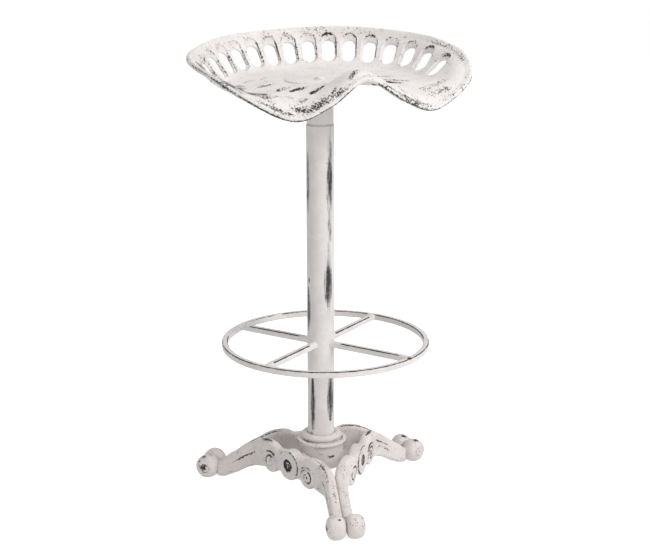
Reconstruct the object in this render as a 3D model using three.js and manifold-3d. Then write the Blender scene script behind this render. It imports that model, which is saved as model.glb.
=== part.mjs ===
// Swivelling tractor seat stool: a pierced cast pan on a tube column, a welded ring footrest, and a
// cast tripod foot of three scrolled panels bolted round a hub.
// Millimetres, +Z up. The seat's front faces -Y, and directions are degrees from -Y towards +X.
// The origin is on the floor, under the column's axis.
import * as THREE from 'three';
import { mergeVertices } from 'three/addons/utils/BufferGeometryUtils.js';
import Module from 'manifold-3d';

const wasm = await Module();
wasm.setup();

// Fits
const touchGap = 0.3; // between pieces that are cut to each other
const runGap = 0.1; // between turning pieces, on the radius
const overrun = 1; // how far a cutter passes the face that it opens

// Seat pan
const seatHalfWidth = 215; // column's axis to the middle of the rolled edge
const seatBack = 171; // column's axis to the edge's middle at the back
const seatFloor = 683; // top of the pan's floor above the ground
const seatRise = 58; // pan's floor to the edge's middle at the back
const panAside = 3; // the rim is cast this far off the column's axis, to +X
const panTwist = 2; // degrees that the back is cast out of level, its +X side up
const panTwistFrom = -125; // front end of the twist
const panTwistLength = 150;
const panWall = 5;
const panEdge = 8.5; // diameter of the rolled edge
const panPadRadius = 44; // flat pad under the pan
const panPadDepth = 3;
const panDiscRadius = 54.5; // raised round in the middle of the pan's top
const panDiscRise = 1.5;

// Openings of the pan
const rimSlots = 18;
const slotPitch = 32.6;
const slotWidth = 21.5;
const slotLength = 38;
const slotInset = 39; // edge's middle to a slot's centre, down the wall
const slotDrop = 7; // and this much further at the front slots
const slotSpread = 30; // the front slots lie this far on from an even pitch, along their line
const slotLean = 16; // degrees that the tops of the front slots lean to the back
const recessMargin = 2.5; // dished surround, wider than its slot all round
const recessReach = 12.5; // and longer than its slot on the side of the edge
const recessDepth = 2.2;
const petalWidth = 15;
const petalLength = 50;

// Swivel
const plateRadius = 42;
const plateThick = 5;
const sleeveRadius = 21.2;
const sleeveWall = 3;
const sleeveLow = 616;
const spindleRadius = 10;
const spindleLow = 470;
const thrustThick = 1.6;
const bushLength = 22;
const bushFlange = 1.2;
const lowerBushLow = 480;
const clipRadius = 14;
const clipThick = 2.5;
const clipGroove = 1.4; // depth
const centreBoltRadius = 5;
const centreBoltGrip = 24; // length screwed into the spindle
const centreHeadRadius = 6.8;
const centreHeadHeight = 3.4;
const centreWasherRadius = 9.5;
const centreWasherThick = 1.2;
const plateScrewSpacing = 44; // square pattern, side to side
const plateScrewRadius = 3;
const plateScrewGrip = 5; // length screwed into the pan
const plateHeadRadius = 6;
const plateHeadHeight = 4;

// Column
const columnRadius = 22.25;
const columnWall = 2;
const columnLow = 70;
const plugHeight = 26;

// Footrest
const ringRadius = 168.6; // outside
const ringBar = 10;
const ringTop = 261.2;
const ringAside = 7; // the ring is welded this far off the column's axis, to +X
const ringForward = 3; // and this far to the front
const spokes = 4;
const spokeTurn = 31.1; // direction of the first spoke

// Hub
const drumRadius = 36;
const drumLow = 58;
const flangeRadius = 41;
const flangeLow = 86;
const flangeThick = 5.5;
const flangeRound = 2;
const beadCentre = 27;
const beadRadius = 5.5;
const bossRadius = 13;
const tieBoltRadius = 6;
const tieBoltGrip = 20; // length screwed into the plug
const tieHeadRadius = 10.4;
const tieHeadHeight = 8;
const tieWasherRadius = 17;
const tieWasherThick = 2.5;

// Leg panels
const panels = 3;
const baseTurn = -15.6; // direction of the first foot
const panelThick = 17;
const panelFace = 71; // column's axis to a panel's outer face
const legSplay = 30; // degrees, from a panel's flat middle to its leg
const legBend = 30; // radius, in plan, to the middle of the thickness
const footReach = 199.5; // column's axis to the middle of a pair of rolls
const shoulderHeight = 85;
const rosetteHeight = 59;
const rosetteRadius = 25;
const rosetteProud = 2;
const lobeSpacing = 94;
const lobeHeight = 52.5;
const lobeRadius = 19.5;
const lobeProud = 1.5;
const discEdge = 2; // chamfer of the rosette and the lobes
const panelBoltRadius = 5;
const panelBoltGrip = 16; // length screwed into the hub
const panelHeadRadius = 7.4;
const panelHeadHeight = 5;
const panelWasherRadius = 8;
const panelWasherThick = 1.5;
const pocketRadius = 8.4;
const pocketDepth = 7; // below the rosette's face

// Foot rolls
const rollRadius = 19.5;
const rollWidth = 28.4;
const rollCorner = 9;
const rollFlat = 0.6; // ground off each roll, for it to stand on
const eyeRadius = 5.5;
const eyeProud = 2.2;

// Facets
const roundSides = 32;
const discSides = 24;
const ringSides = 64;
const rollSides = 16;
const boltSides = 12;
const hexSides = 6;
const cornerSteps = 2;
const slotSteps = 4; // round each end of a slot
const petalSides = 10;
const panDirections = 40;

// Paints and metals
const paint = { color: 0xe9e4e0, roughness: 0.55, metalness: 0.05 };
const steel = { color: 0x8d8b88, roughness: 0.4, metalness: 0.9 };
const darkSteel = { color: 0x2b2826, roughness: 0.7, metalness: 0.5 };
const polymer = { color: 0x2e2e30, roughness: 0.5, metalness: 0 };

const rad = THREE.MathUtils.degToRad;

// Solids and their joins and cuts

function solid(geometry) {
  const g = geometry.clone();
  g.deleteAttribute('normal');
  g.deleteAttribute('uv');
  const merged = mergeVertices(g, 1e-4);
  return new wasm.Manifold(new wasm.Mesh({
    numProp: 3,
    vertProperties: Float32Array.from(merged.attributes.position.array),
    triVerts: Uint32Array.from(merged.index.array),
  }));
}

function toGeometry(manifold) {
  const mesh = manifold.getMesh();
  const g = new THREE.BufferGeometry();
  g.setAttribute('position', new THREE.BufferAttribute(Float32Array.from(mesh.vertProperties), 3));
  g.setIndex(new THREE.BufferAttribute(Uint32Array.from(mesh.triVerts), 1));
  g.computeVertexNormals();
  return g;
}

function joined(geometries) {
  return geometries.map(solid).reduce((a, b) => a.add(b));
}

function cut(manifold, geometries) {
  return geometries.map(solid).reduce((a, b) => a.subtract(b), manifold);
}

function named(name, geometry, finish) {
  const mesh = new THREE.Mesh(geometry, new THREE.MeshStandardMaterial(finish));
  mesh.name = name;
  return mesh;
}

// Turned shapes: a profile of [radius, height] about +Z

function turned(profile, sides = roundSides) {
  const points = profile.map(([r, z]) => new THREE.Vector2(r, z));
  return new THREE.LatheGeometry(points, sides).rotateX(Math.PI / 2);
}

function tube(outer, inner, low, high, sides = roundSides) {
  return turned([[inner, low], [outer, low], [outer, high], [inner, high], [inner, low]], sides);
}

function rod(radius, low, high, sides = roundSides) {
  return turned([[0, low], [radius, low], [radius, high], [0, high]], sides);
}

// A disc with chamfered edges
function disc(radius, low, high, edge, sides = roundSides) {
  return turned([
    [0, low], [radius - edge, low], [radius, low + edge], [radius, high - edge],
    [radius - edge, high], [0, high],
  ], sides);
}

// Lays a shape that stands along +Z towards the front, its axis at a height
function facingFront(geometry, height) {
  return geometry.rotateX(Math.PI / 2).translate(0, 0, height);
}

// The bore whose flats clear a shaft by this gap
function boreFor(radius, gap, sides = roundSides) {
  return (radius + gap) / Math.cos(Math.PI / sides);
}

// A closed skin over rings of points, from one end point to the other
function loft(rings, firstPoint, lastPoint) {
  const sides = rings[0].length;
  const points = [firstPoint, ...rings.flat(), lastPoint];
  const index = [];
  const at = (ring, i) => 1 + ring * sides + (i % sides);
  const end = points.length - 1;
  for (let i = 0; i < sides; i += 1) {
    index.push(0, at(0, i + 1), at(0, i));
    index.push(end, at(rings.length - 1, i), at(rings.length - 1, i + 1));
    for (let r = 0; r < rings.length - 1; r += 1) {
      index.push(at(r, i), at(r, i + 1), at(r + 1, i));
      index.push(at(r + 1, i), at(r, i + 1), at(r + 1, i + 1));
    }
  }
  const g = new THREE.BufferGeometry();
  g.setAttribute('position', new THREE.Float32BufferAttribute(points.flatMap((p) => p.toArray()), 3));
  g.setIndex(index);
  return g;
}

// Smooth value between b and c of a row of four
function between(a, b, c, d, u) {
  return 0.5 * (2 * b + (c - a) * u + (2 * a - 5 * b + 4 * c - d) * u * u
    + (3 * b - a - 3 * c + d) * u * u * u);
}

// Surface of the pan. Each row is one direction, from the back round to the front: the edge's place
// as shares of the half width and of the back, then heights, as shares of the rise, at the stations
// from the column's axis out to the edge.
const stationShares = [0, 0.3, 0.5, 0.64, 0.74, 0.83, 0.92, 1];
const panRowShares = [
  [0, 0.985, [0, 0, 0.005, 0.02, 0.07, 0.22, 0.61, 1.02]],
  [0.269, 0.942, [0, 0, 0.005, 0.02, 0.065, 0.22, 0.61, 1.022]],
  [0.523, 0.813, [0, 0, 0.005, 0.02, 0.06, 0.2, 0.59, 1]],
  [0.741, 0.602, [0, 0, 0, 0.01, 0.045, 0.2, 0.58, 0.92]],
  [0.907, 0.339, [0, 0, -0.01, -0.01, 0.02, 0.2, 0.56, 0.83]],
  [0.991, -0.058, [0, 0, -0.02, -0.03, 0, 0.2, 0.54, 0.72]],
  [0.991, -0.433, [0, 0, -0.02, -0.03, 0, 0.16, 0.42, 0.53]],
  [0.866, -0.75, [0, 0.02, 0.02, 0, 0.01, 0.03, 0.06, 0.06]],
  [0.551, -0.868, [0, 0.02, 0.03, 0, -0.06, -0.16, -0.3, -0.522]],
  [0.285, -0.903, [0, 0.02, 0.08, 0.13, 0.15, 0.11, 0, -0.21]],
  [0, -0.87, [0, 0.04, 0.26, 0.41, 0.48, 0.51, 0.465, 0.357]],
];
const halfRows = panRowShares.length - 1;
const allRows = 2 * halfRows;

// One row; those past the front are the mirror of those before it
function panRow(index) {
  const i = ((index % allRows) + allRows) % allRows;
  const side = i > halfRows ? -1 : 1;
  const [across, along, heights] = panRowShares[i > halfRows ? allRows - i : i];
  return { x: side * across * seatHalfWidth, y: along * seatBack, heights };
}

function rowHeight({ heights: h }, share) {
  const last = stationShares.length - 1;
  let k = 0;
  while (k < last - 1 && share > stationShares[k + 1]) k += 1;
  const u = (share - stationShares[k]) / (stationShares[k + 1] - stationShares[k]);
  const before = k > 0 ? h[k - 1] : h[1];
  const after = k + 2 <= last ? h[k + 2] : 2 * h[last] - h[last - 1];
  return between(before, h[k], h[k + 1], after, u) * seatRise;
}

// A point of the upper surface, for a direction in rows and a share of the way out to the edge
function panPoint(direction, share) {
  const first = Math.floor(direction);
  const rows = [-1, 0, 1, 2].map((step) => panRow(first + step));
  const blend = (pick) => between(...rows.map(pick), direction - first);
  const x = (blend((row) => row.x) + panAside) * share;
  const y = blend((row) => row.y) * share;
  const twist = THREE.MathUtils.clamp((y - panTwistFrom) / panTwistLength, 0, 1) * rad(panTwist);
  const z = seatFloor + blend((row) => rowHeight(row, share)) + x * share * Math.tan(twist);
  return new THREE.Vector3(x, y, z);
}

// Where the surface lies there, which way is up the wall, and which way is out of the metal
const probeShare = 0.01;

function panFrame(direction, share) {
  const s = Math.max(share, 2 * probeShare);
  const up = panPoint(direction, s + probeShare).sub(panPoint(direction, s - probeShare));
  const round = panPoint(direction + probeShare, s).sub(panPoint(direction - probeShare, s));
  const normal = new THREE.Vector3().crossVectors(round, up).normalize();
  return { at: panPoint(direction, share), up: up.normalize(), normal };
}

// Rings of the upper face, round the edge, and of the lower face back to the middle
const panRingShares = [0.2, 0.4, 0.54, 0.66, 0.745, 0.82, 0.9, 0.97];

function panShell() {
  const rings = [];
  const addRing = (share, place) => {
    const ring = [];
    for (let i = 0; i < panDirections; i += 1) {
      const frame = panFrame((i * allRows) / panDirections, share);
      const [inward, outward] = place;
      ring.push(frame.at.addScaledVector(frame.normal, inward).addScaledVector(frame.up, outward));
    }
    rings.push(ring);
  };
  for (const share of panRingShares) addRing(share, [0, 0]);
  const bead = panEdge / 2;
  for (let k = 0; k <= cornerSteps + 1; k += 1) {
    const turn = Math.PI / 2 - (k * Math.PI) / (cornerSteps + 1);
    addRing(1, [bead * Math.sin(turn) - panWall / 2, bead * Math.cos(turn)]);
  }
  for (const share of [...panRingShares].reverse()) addRing(share, [-panWall, 0]);
  const middle = new THREE.Vector3(0, 0, seatFloor);
  return loft(rings, middle, middle.clone().setZ(seatFloor - panWall));
}

// A level outline with two round ends, its length along +Y, clockwise from above
function slotOutline(width, length, middle, z) {
  const r = width / 2;
  const ring = [];
  for (const end of [1, -1]) {
    for (let k = 0; k <= slotSteps; k += 1) {
      const turn = (end > 0 ? Math.PI : 0) - (k / slotSteps) * Math.PI;
      const y = middle + end * (length / 2 - r) + r * Math.sin(turn);
      ring.push(new THREE.Vector3(r * Math.cos(turn), y, z));
    }
  }
  return ring;
}

// A slot through the wall, and round it a dish that deepens towards the slot
const cutReach = panWall + panEdge;

function slotCutter() {
  const dishWidth = slotWidth + 2 * recessMargin;
  const dishLength = slotLength + recessMargin + recessReach;
  const dishMiddle = (recessReach - recessMargin) / 2;
  const rings = [
    slotOutline(dishWidth, dishLength, dishMiddle, cutReach),
    slotOutline(dishWidth, dishLength, dishMiddle, 0),
    slotOutline(slotWidth, slotLength, 0, -recessDepth),
    slotOutline(slotWidth, slotLength, 0, -cutReach),
  ];
  return loft(rings, new THREE.Vector3(0, 0, cutReach), new THREE.Vector3(0, 0, -cutReach));
}

function petalCutter() {
  return new THREE.CylinderGeometry(1, 1, 2 * cutReach, petalSides)
    .rotateX(Math.PI / 2)
    .scale(petalWidth / 2, petalLength / 2, 1);
}

// Lays a cutter square on the pan, turned in the surface
function onPan(cutter, { at, up, normal }, turn = 0) {
  const along = up.clone().applyAxisAngle(normal, turn);
  const across = new THREE.Vector3().crossVectors(along, normal);
  return cutter.applyMatrix4(new THREE.Matrix4().makeBasis(across, along, normal).setPosition(at));
}

// Share of the way out at which the wall lies this far down from the edge
function shareBelowEdge(direction, distance) {
  let share = 1;
  let length = 0;
  while (length < distance) {
    length += panPoint(direction, share).distanceTo(panPoint(direction, share - probeShare));
    share -= probeShare;
  }
  return share;
}

// How far round a slot lies, from 0 at the back to 1 at the front
function slotForward(index) {
  return index / (rimSlots / 2 - 1);
}

// Directions of one side's slots, by steps along their line from half a step beside the back
function slotDirections() {
  const place = (d) => panPoint(d, shareBelowEdge(d, slotInset));
  const found = [];
  let direction = 0;
  let length = 0;
  for (let k = 0; k < rimSlots / 2; k += 1) {
    const way = (k + 0.5) * slotPitch + slotSpread * slotForward(k) ** 4;
    while (length < way) {
      length += place(direction).distanceTo(place(direction + probeShare));
      direction += probeShare;
    }
    found.push(direction);
  }
  return found;
}

// Petals of one side: direction in rows, share of the way out, and degrees turned in the surface
const petalShares = [
  [4.98, 0.46, -26],
  [6.95, 0.506, -8],
  [7.67, 0.535, 13],
  [8.62, 0.68, 30],
];

function seatPan() {
  const low = seatFloor - panWall;
  const pad = rod(panPadRadius, low - panPadDepth, low + overrun);
  const raised = rod(panDiscRadius, low + overrun, seatTop);
  const cutters = [centreHole(), ...plateScrewPlaces().map(([x, y]) => plateScrewHole(x, y))];
  for (const side of [1, -1]) {
    slotDirections().forEach((direction, k) => {
      const forward = slotForward(k);
      const share = shareBelowEdge(direction, slotInset + slotDrop * forward ** 2);
      const lean = side * rad(slotLean * forward);
      cutters.push(onPan(slotCutter(), panFrame(side * direction, share), lean));
    });
    for (const [direction, share, turn] of petalShares) {
      cutters.push(onPan(petalCutter(), panFrame(side * direction, share), side * rad(turn)));
    }
  }
  return toGeometry(cut(joined([panShell(), pad, raised]), cutters));
}

// Seat fastening
const seatTop = seatFloor + panDiscRise;
const plateHigh = seatFloor - panWall - panPadDepth;
const plateLow = plateHigh - plateThick;

function centreHole() {
  return rod(centreBoltRadius + touchGap, plateLow - overrun, seatTop + overrun, boltSides);
}

function plateScrewPlaces() {
  const half = plateScrewSpacing / 2;
  return [[half, half], [-half, half], [-half, -half], [half, -half]];
}

function plateScrewHole(x, y) {
  const high = plateHigh + plateScrewGrip + touchGap;
  return rod(plateScrewRadius + touchGap, plateLow - overrun, high, boltSides).translate(x, y, 0);
}

function seatPlate() {
  const holes = [centreHole(), ...plateScrewPlaces().map(([x, y]) => plateScrewHole(x, y))];
  return toGeometry(cut(solid(rod(plateRadius, plateLow, plateHigh)), holes));
}

function plateScrew() {
  const head = rod(plateHeadRadius, plateLow - plateHeadHeight, plateLow, hexSides);
  const low = plateLow - plateHeadHeight / 2;
  const shank = rod(plateScrewRadius, low, plateHigh + plateScrewGrip, boltSides);
  return toGeometry(joined([head, shank]));
}

// A low domed head on a plain shank
const domeShares = [[0.92, 0.45], [0.6, 0.85]];

function centreBolt() {
  const headLow = seatTop + centreWasherThick;
  const dome = domeShares.map(([r, h]) => [r * centreHeadRadius, headLow + h * centreHeadHeight]);
  const tail = plateLow - centreBoltGrip;
  return turned([
    [0, tail], [centreBoltRadius, tail], [centreBoltRadius, headLow], [centreHeadRadius, headLow],
    ...dome, [0, headLow + centreHeadHeight],
  ], boltSides);
}

function centreWasher() {
  const bore = centreBoltRadius + touchGap;
  return tube(centreWasherRadius, bore, seatTop, seatTop + centreWasherThick, discSides);
}

// The sleeve's closed end holds the spindle
function seatSleeve() {
  const bore = sleeveRadius - sleeveWall;
  const shaft = spindleRadius + touchGap;
  const closed = plateLow - plateThick;
  return turned([
    [bore, sleeveLow], [sleeveRadius, sleeveLow], [sleeveRadius, plateLow], [shaft, plateLow],
    [shaft, closed], [bore, closed], [bore, sleeveLow],
  ]);
}

// A shaft bored for the centre bolt, with a groove, under its lower bush, for the clip
const grooveHigh = lowerBushLow - touchGap;
const grooveLow = grooveHigh - clipThick - touchGap;

function swivelSpindle() {
  const waist = spindleRadius - clipGroove;
  const bore = centreBoltRadius + touchGap;
  const boreLow = plateLow - centreBoltGrip - touchGap;
  return turned([
    [0, spindleLow], [spindleRadius, spindleLow], [spindleRadius, grooveLow], [waist, grooveLow],
    [waist, grooveHigh], [spindleRadius, grooveHigh], [spindleRadius, plateLow], [bore, plateLow],
    [bore, boreLow], [0, boreLow],
  ], boltSides);
}

function spindleClip() {
  const low = grooveLow + touchGap / 2;
  const bore = boreFor(spindleRadius - clipGroove, touchGap, boltSides);
  return tube(clipRadius, bore, low, low + clipThick, boltSides);
}

// Column
const columnBore = columnRadius - columnWall;
const columnHigh = sleeveLow - thrustThick - bushFlange - 2 * touchGap;
const bushBody = columnBore - touchGap;
const bushBore = boreFor(spindleRadius, runGap);

function columnTube() {
  return tube(columnRadius, columnBore, columnLow, columnHigh);
}

function columnPlug() {
  return tube(bushBody, tieBoltRadius + touchGap, columnLow, columnLow + plugHeight);
}

function upperBush() {
  const flange = columnRadius - touchGap;
  const high = columnHigh + bushFlange;
  const low = columnHigh - bushLength;
  return turned([
    [bushBore, low], [bushBody, low], [bushBody, columnHigh], [flange, columnHigh],
    [flange, high], [bushBore, high], [bushBore, low],
  ]);
}

function lowerBush() {
  return tube(bushBody, bushBore, lowerBushLow, lowerBushLow + bushLength);
}

function thrustWasher() {
  const low = columnHigh + bushFlange + touchGap;
  return tube(sleeveRadius - touchGap, bushBore, low, low + thrustThick);
}

// Footrest
function footrestRing() {
  return tube(ringRadius, ringRadius - ringBar, ringTop - ringBar, ringTop, ringSides)
    .translate(ringAside, -ringForward, 0);
}

// A square bar cut to the column and to the ring
function footrestSpoke(turn) {
  const length = ringRadius + ringBar;
  const bar = new THREE.BoxGeometry(ringBar, length, ringBar)
    .translate(0, -length / 2, ringTop - ringBar / 2)
    .rotateZ(rad(turn));
  const low = ringTop - ringBar - overrun;
  const high = ringTop + overrun;
  const inner = (ringRadius - ringBar) * Math.cos(Math.PI / ringSides) - touchGap;
  const inside = rod(inner, low, high, ringSides).translate(ringAside, -ringForward, 0);
  const column = rod(boreFor(columnRadius, touchGap), low, high);
  return toGeometry(solid(bar).intersect(solid(inside)).subtract(solid(column)));
}

// Hub: a drum with a socket for the column, and a boss for each panel
const bossEnd = panelFace - panelThick - touchGap;
const beadMiddle = flangeLow + flangeThick + beadRadius;

function baseHub() {
  const socket = boreFor(columnRadius, touchGap);
  const shaft = tieBoltRadius + touchGap;
  const seat = columnLow - touchGap;
  const flangeHigh = flangeLow + flangeThick;
  const bead = [];
  for (let k = 0; k <= 2 * cornerSteps; k += 1) {
    const turn = -Math.PI / 2 + (k * Math.PI) / (2 * cornerSteps);
    bead.push([beadCentre + beadRadius * Math.cos(turn), beadMiddle + beadRadius * Math.sin(turn)]);
  }
  const parts = [turned([
    [shaft, drumLow], [drumRadius, drumLow], [drumRadius, flangeLow],
    [flangeRadius - flangeRound, flangeLow], [flangeRadius, flangeLow + flangeRound],
    [flangeRadius, flangeHigh - flangeRound], [flangeRadius - flangeRound, flangeHigh],
    ...bead, [socket, beadMiddle + beadRadius / 2], [socket, seat], [shaft, seat], [shaft, drumLow],
  ])];
  const cutters = [rod(socket, seat, beadMiddle + beadRadius + overrun)];
  for (let i = 0; i < panels; i += 1) {
    const turn = rad(panelTurn(i));
    const boss = rod(bossRadius, drumRadius / 2, bossEnd);
    const bore = panelBoltRadius + touchGap;
    const hole = rod(bore, bossEnd - panelBoltGrip - touchGap, bossEnd + overrun, boltSides);
    parts.push(facingFront(boss, rosetteHeight).rotateZ(turn));
    cutters.push(facingFront(hole, rosetteHeight).rotateZ(turn));
  }
  return toGeometry(cut(joined(parts), cutters));
}

function tieBolt() {
  const seat = drumLow - tieWasherThick;
  const high = columnLow + tieBoltGrip;
  const head = rod(tieHeadRadius, seat - tieHeadHeight, seat, hexSides);
  return toGeometry(joined([head, rod(tieBoltRadius, seat - tieHeadHeight / 2, high, boltSides)]));
}

function tieWasher() {
  return tube(tieWasherRadius, tieBoltRadius + touchGap, drumLow - tieWasherThick, drumLow);
}

// Leg panels. Along a panel's middle line, lengths run from its middle out to the rolls.
const panelMiddle = panelFace - panelThick / 2;
const legAside = (panelThick + touchGap) / 2; // leg's middle to the foot's upright middle plane
const splay = rad(legSplay);
const sharpCorner = (panelMiddle * Math.cos(splay) - legAside) / Math.sin(splay);
const bendStart = sharpCorner - legBend * Math.tan(splay / 2);
const cornerReach = sharpCorner * Math.cos(splay) + panelMiddle * Math.sin(splay);
const bentLength = legBend * splay;
const legLength = bendStart + bentLength + footReach - cornerReach - legBend * Math.tan(splay / 2);

function panelTurn(index) {
  return baseTurn + (360 / panels) * (index + 0.5);
}

// A panel's outline: the way out to the rolls, then the top and the underside, as shares of the
// leg's length and of the shoulder's height
const outlineShares = [
  [0, 0.965, 0.44],
  [0.11, 0.93, 0.465],
  [0.18, 0.918, 0.475],
  [0.25, 0.985, 0.42],
  [0.33, 1, 0.43],
  [0.4, 0.98, 0.4],
  [0.47, 0.925, 0.368],
  [0.54, 0.847, 0.335],
  [0.61, 0.76, 0.275],
  [0.69, 0.64, 0.175],
  [0.77, 0.505, 0.1],
  [0.83, 0.424, 0.04],
  [0.87, 0.35, 0.025],
  [0.95, 0.28, 0.09],
];
const edgeRoundShare = 0.3; // of a panel's thickness

// A point of a panel, facing the front: the way along its middle line, out from it, and up
function panelPoint(along, outward, z) {
  const way = Math.abs(along);
  const turn = THREE.MathUtils.clamp((way - bendStart) / legBend, 0, splay);
  const straight = Math.max(way - bendStart - bentLength, 0);
  const before = Math.min(way, bendStart);
  const x = before + legBend * Math.sin(turn) + straight * Math.cos(turn) - outward * Math.sin(turn);
  const y = legBend * (1 - Math.cos(turn)) + straight * Math.sin(turn) + outward * Math.cos(turn);
  return new THREE.Vector3(Math.sign(along) * x, -(panelMiddle + y), z);
}

// A round-cornered section, clockwise when looking along the panel
function panelSection(along, high, low) {
  const round = edgeRoundShare * panelThick;
  const ring = [];
  for (let corner = 0; corner < 4; corner += 1) {
    const outer = corner === 0 || corner === 1;
    const upper = corner === 0 || corner === 3;
    for (let k = 0; k <= cornerSteps; k += 1) {
      const turn = Math.PI / 2 - (corner + k / cornerSteps) * (Math.PI / 2);
      const middle = (outer ? 1 : -1) * (panelThick / 2 - round);
      const height = upper ? high - round : low + round;
      ring.push(panelPoint(along, middle + round * Math.cos(turn), height + round * Math.sin(turn)));
    }
  }
  return ring;
}

function panelBody() {
  const half = outlineShares.slice(1);
  const stations = [
    ...half.map(([way, high, low]) => [-way, high, low]).reverse(),
    ...outlineShares,
  ].map(([way, high, low]) => [way * legLength, high * shoulderHeight, low * shoulderHeight]);
  const rings = stations.map(([way, high, low]) => panelSection(way, high, low));
  const [endWay, endHigh, endLow] = stations[stations.length - 1];
  const middle = (endHigh + endLow) / 2;
  return loft(rings, panelPoint(-endWay, 0, middle), panelPoint(endWay, 0, middle));
}

// A rounded roll with an eye on its outer side, beside the foot's middle plane
function footRoll(side) {
  const half = rollWidth / 2;
  const profile = [[0, -half]];
  for (const end of [-1, 1]) {
    for (let k = 0; k <= cornerSteps; k += 1) {
      const step = (k / cornerSteps) * (Math.PI / 2);
      const turn = end < 0 ? step - Math.PI / 2 : step;
      profile.push([
        rollRadius - rollCorner + rollCorner * Math.cos(turn),
        end * (half - rollCorner) + rollCorner * Math.sin(turn),
      ]);
    }
  }
  profile.push([eyeRadius, half], [eyeRadius - eyeProud / 2, half + eyeProud], [0, half + eyeProud]);
  return turned(profile, rollSides)
    .rotateY((-side * Math.PI) / 2)
    .translate(-side * (half + touchGap / 2), -footReach, rollRadius - rollFlat)
    .rotateZ(side * (Math.PI / panels));
}

function legPanel() {
  const back = panelFace - panelThick;
  const parts = [panelBody(), footRoll(1), footRoll(-1)];
  for (const side of [1, -1]) {
    const lobe = disc(lobeRadius, back, panelFace + lobeProud, discEdge, discSides);
    parts.push(facingFront(lobe, lobeHeight).translate((side * lobeSpacing) / 2, 0, 0));
  }
  const face = panelFace + rosetteProud;
  const rosette = disc(rosetteRadius, back, face, discEdge, discSides);
  parts.push(facingFront(rosette, rosetteHeight));
  const pocket = rod(pocketRadius, face - pocketDepth, face + overrun, boltSides);
  const hole = rod(panelBoltRadius + touchGap, back - overrun, face, boltSides);
  const wide = 2 * (footReach + rollRadius);
  const floor = new THREE.BoxGeometry(wide, wide, rollRadius).translate(0, 0, -rollRadius / 2);
  const cutters = [facingFront(pocket, rosetteHeight), facingFront(hole, rosetteHeight), floor];
  return toGeometry(cut(joined(parts), cutters));
}

const pocketFloor = panelFace + rosetteProud - pocketDepth;

function panelWasher() {
  const bore = panelBoltRadius + touchGap;
  const washer = tube(panelWasherRadius, bore, pocketFloor, pocketFloor + panelWasherThick, boltSides);
  return facingFront(washer, rosetteHeight);
}

function panelBolt() {
  const seat = pocketFloor + panelWasherThick;
  const head = rod(panelHeadRadius, seat, seat + panelHeadHeight, hexSides);
  const shank = rod(panelBoltRadius, bossEnd - panelBoltGrip, seat + panelHeadHeight / 2, boltSides);
  return toGeometry(joined([facingFront(head, rosetteHeight), facingFront(shank, rosetteHeight)]));
}

// Assembly

const seat = new THREE.Group();
seat.add(named('seat_pan', seatPan(), paint));
seat.add(named('seat_plate', seatPlate(), steel));
seat.add(named('seat_sleeve', seatSleeve(), paint));
seat.add(named('swivel_spindle', swivelSpindle(), steel));
seat.add(named('spindle_clip', spindleClip(), steel));
seat.add(named('centre_washer', centreWasher(), paint));
seat.add(named('centre_bolt', centreBolt(), darkSteel));
plateScrewPlaces().forEach(([x, y], i) => {
  seat.add(named(`plate_screw_${i + 1}`, plateScrew().translate(x, y, 0), steel));
});

const base = new THREE.Group();
base.add(named('column_tube', columnTube(), paint));
base.add(named('column_plug', columnPlug(), steel));
base.add(named('upper_bush', upperBush(), polymer));
base.add(named('lower_bush', lowerBush(), polymer));
base.add(named('thrust_washer', thrustWasher(), polymer));
base.add(named('footrest_ring', footrestRing(), paint));
for (let i = 0; i < spokes; i += 1) {
  const turn = spokeTurn + (360 / spokes) * i;
  base.add(named(`footrest_spoke_${i + 1}`, footrestSpoke(turn), paint));
}
base.add(named('base_hub', baseHub(), paint));
base.add(named('tie_washer', tieWasher(), steel));
base.add(named('tie_bolt', tieBolt(), steel));
for (let i = 0; i < panels; i += 1) {
  const turn = rad(panelTurn(i));
  base.add(named(`leg_panel_${i + 1}`, legPanel().rotateZ(turn), paint));
  base.add(named(`panel_washer_${i + 1}`, panelWasher().rotateZ(turn), steel));
  base.add(named(`panel_bolt_${i + 1}`, panelBolt().rotateZ(turn), darkSteel));
}

const stool = new THREE.Group();
stool.add(base, seat);

export default stool;
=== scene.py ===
"""Swivelling tractor seat stool in worn white paint: its pieces, finishes and stage.

The CAD nodes are the fixed frame. The cast, turned and welded pieces that show are modelled here at
full detail in their places; the nodes that are right as they are keep their shape and get a finish.
Metres, +Z up, the seat's front faces -Y. Directions are degrees from -Y towards +X.
"""

import math

import bpy
import numpy as np
from bpy.props import FloatProperty, FloatVectorProperty, IntProperty, PointerProperty
from mathutils import Matrix, Vector


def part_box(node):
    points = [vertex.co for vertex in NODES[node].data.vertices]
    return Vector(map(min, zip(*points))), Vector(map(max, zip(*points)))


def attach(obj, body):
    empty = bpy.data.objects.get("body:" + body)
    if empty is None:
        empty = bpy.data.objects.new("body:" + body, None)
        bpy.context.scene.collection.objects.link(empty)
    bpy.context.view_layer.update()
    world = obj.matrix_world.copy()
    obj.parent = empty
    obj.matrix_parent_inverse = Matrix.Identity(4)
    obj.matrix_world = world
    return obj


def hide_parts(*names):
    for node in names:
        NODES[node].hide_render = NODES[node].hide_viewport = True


bl_info = {
    "name": "Tractor Seat Stool",
    "version": (1, 0, 0),
    "blender": (4, 5, 0),
    "location": "View3D > Sidebar > Stool",
    "description": "Builds the stool's seat, column, footrest and tripod base round its CAD frame",
    "category": "Object",
}

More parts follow.
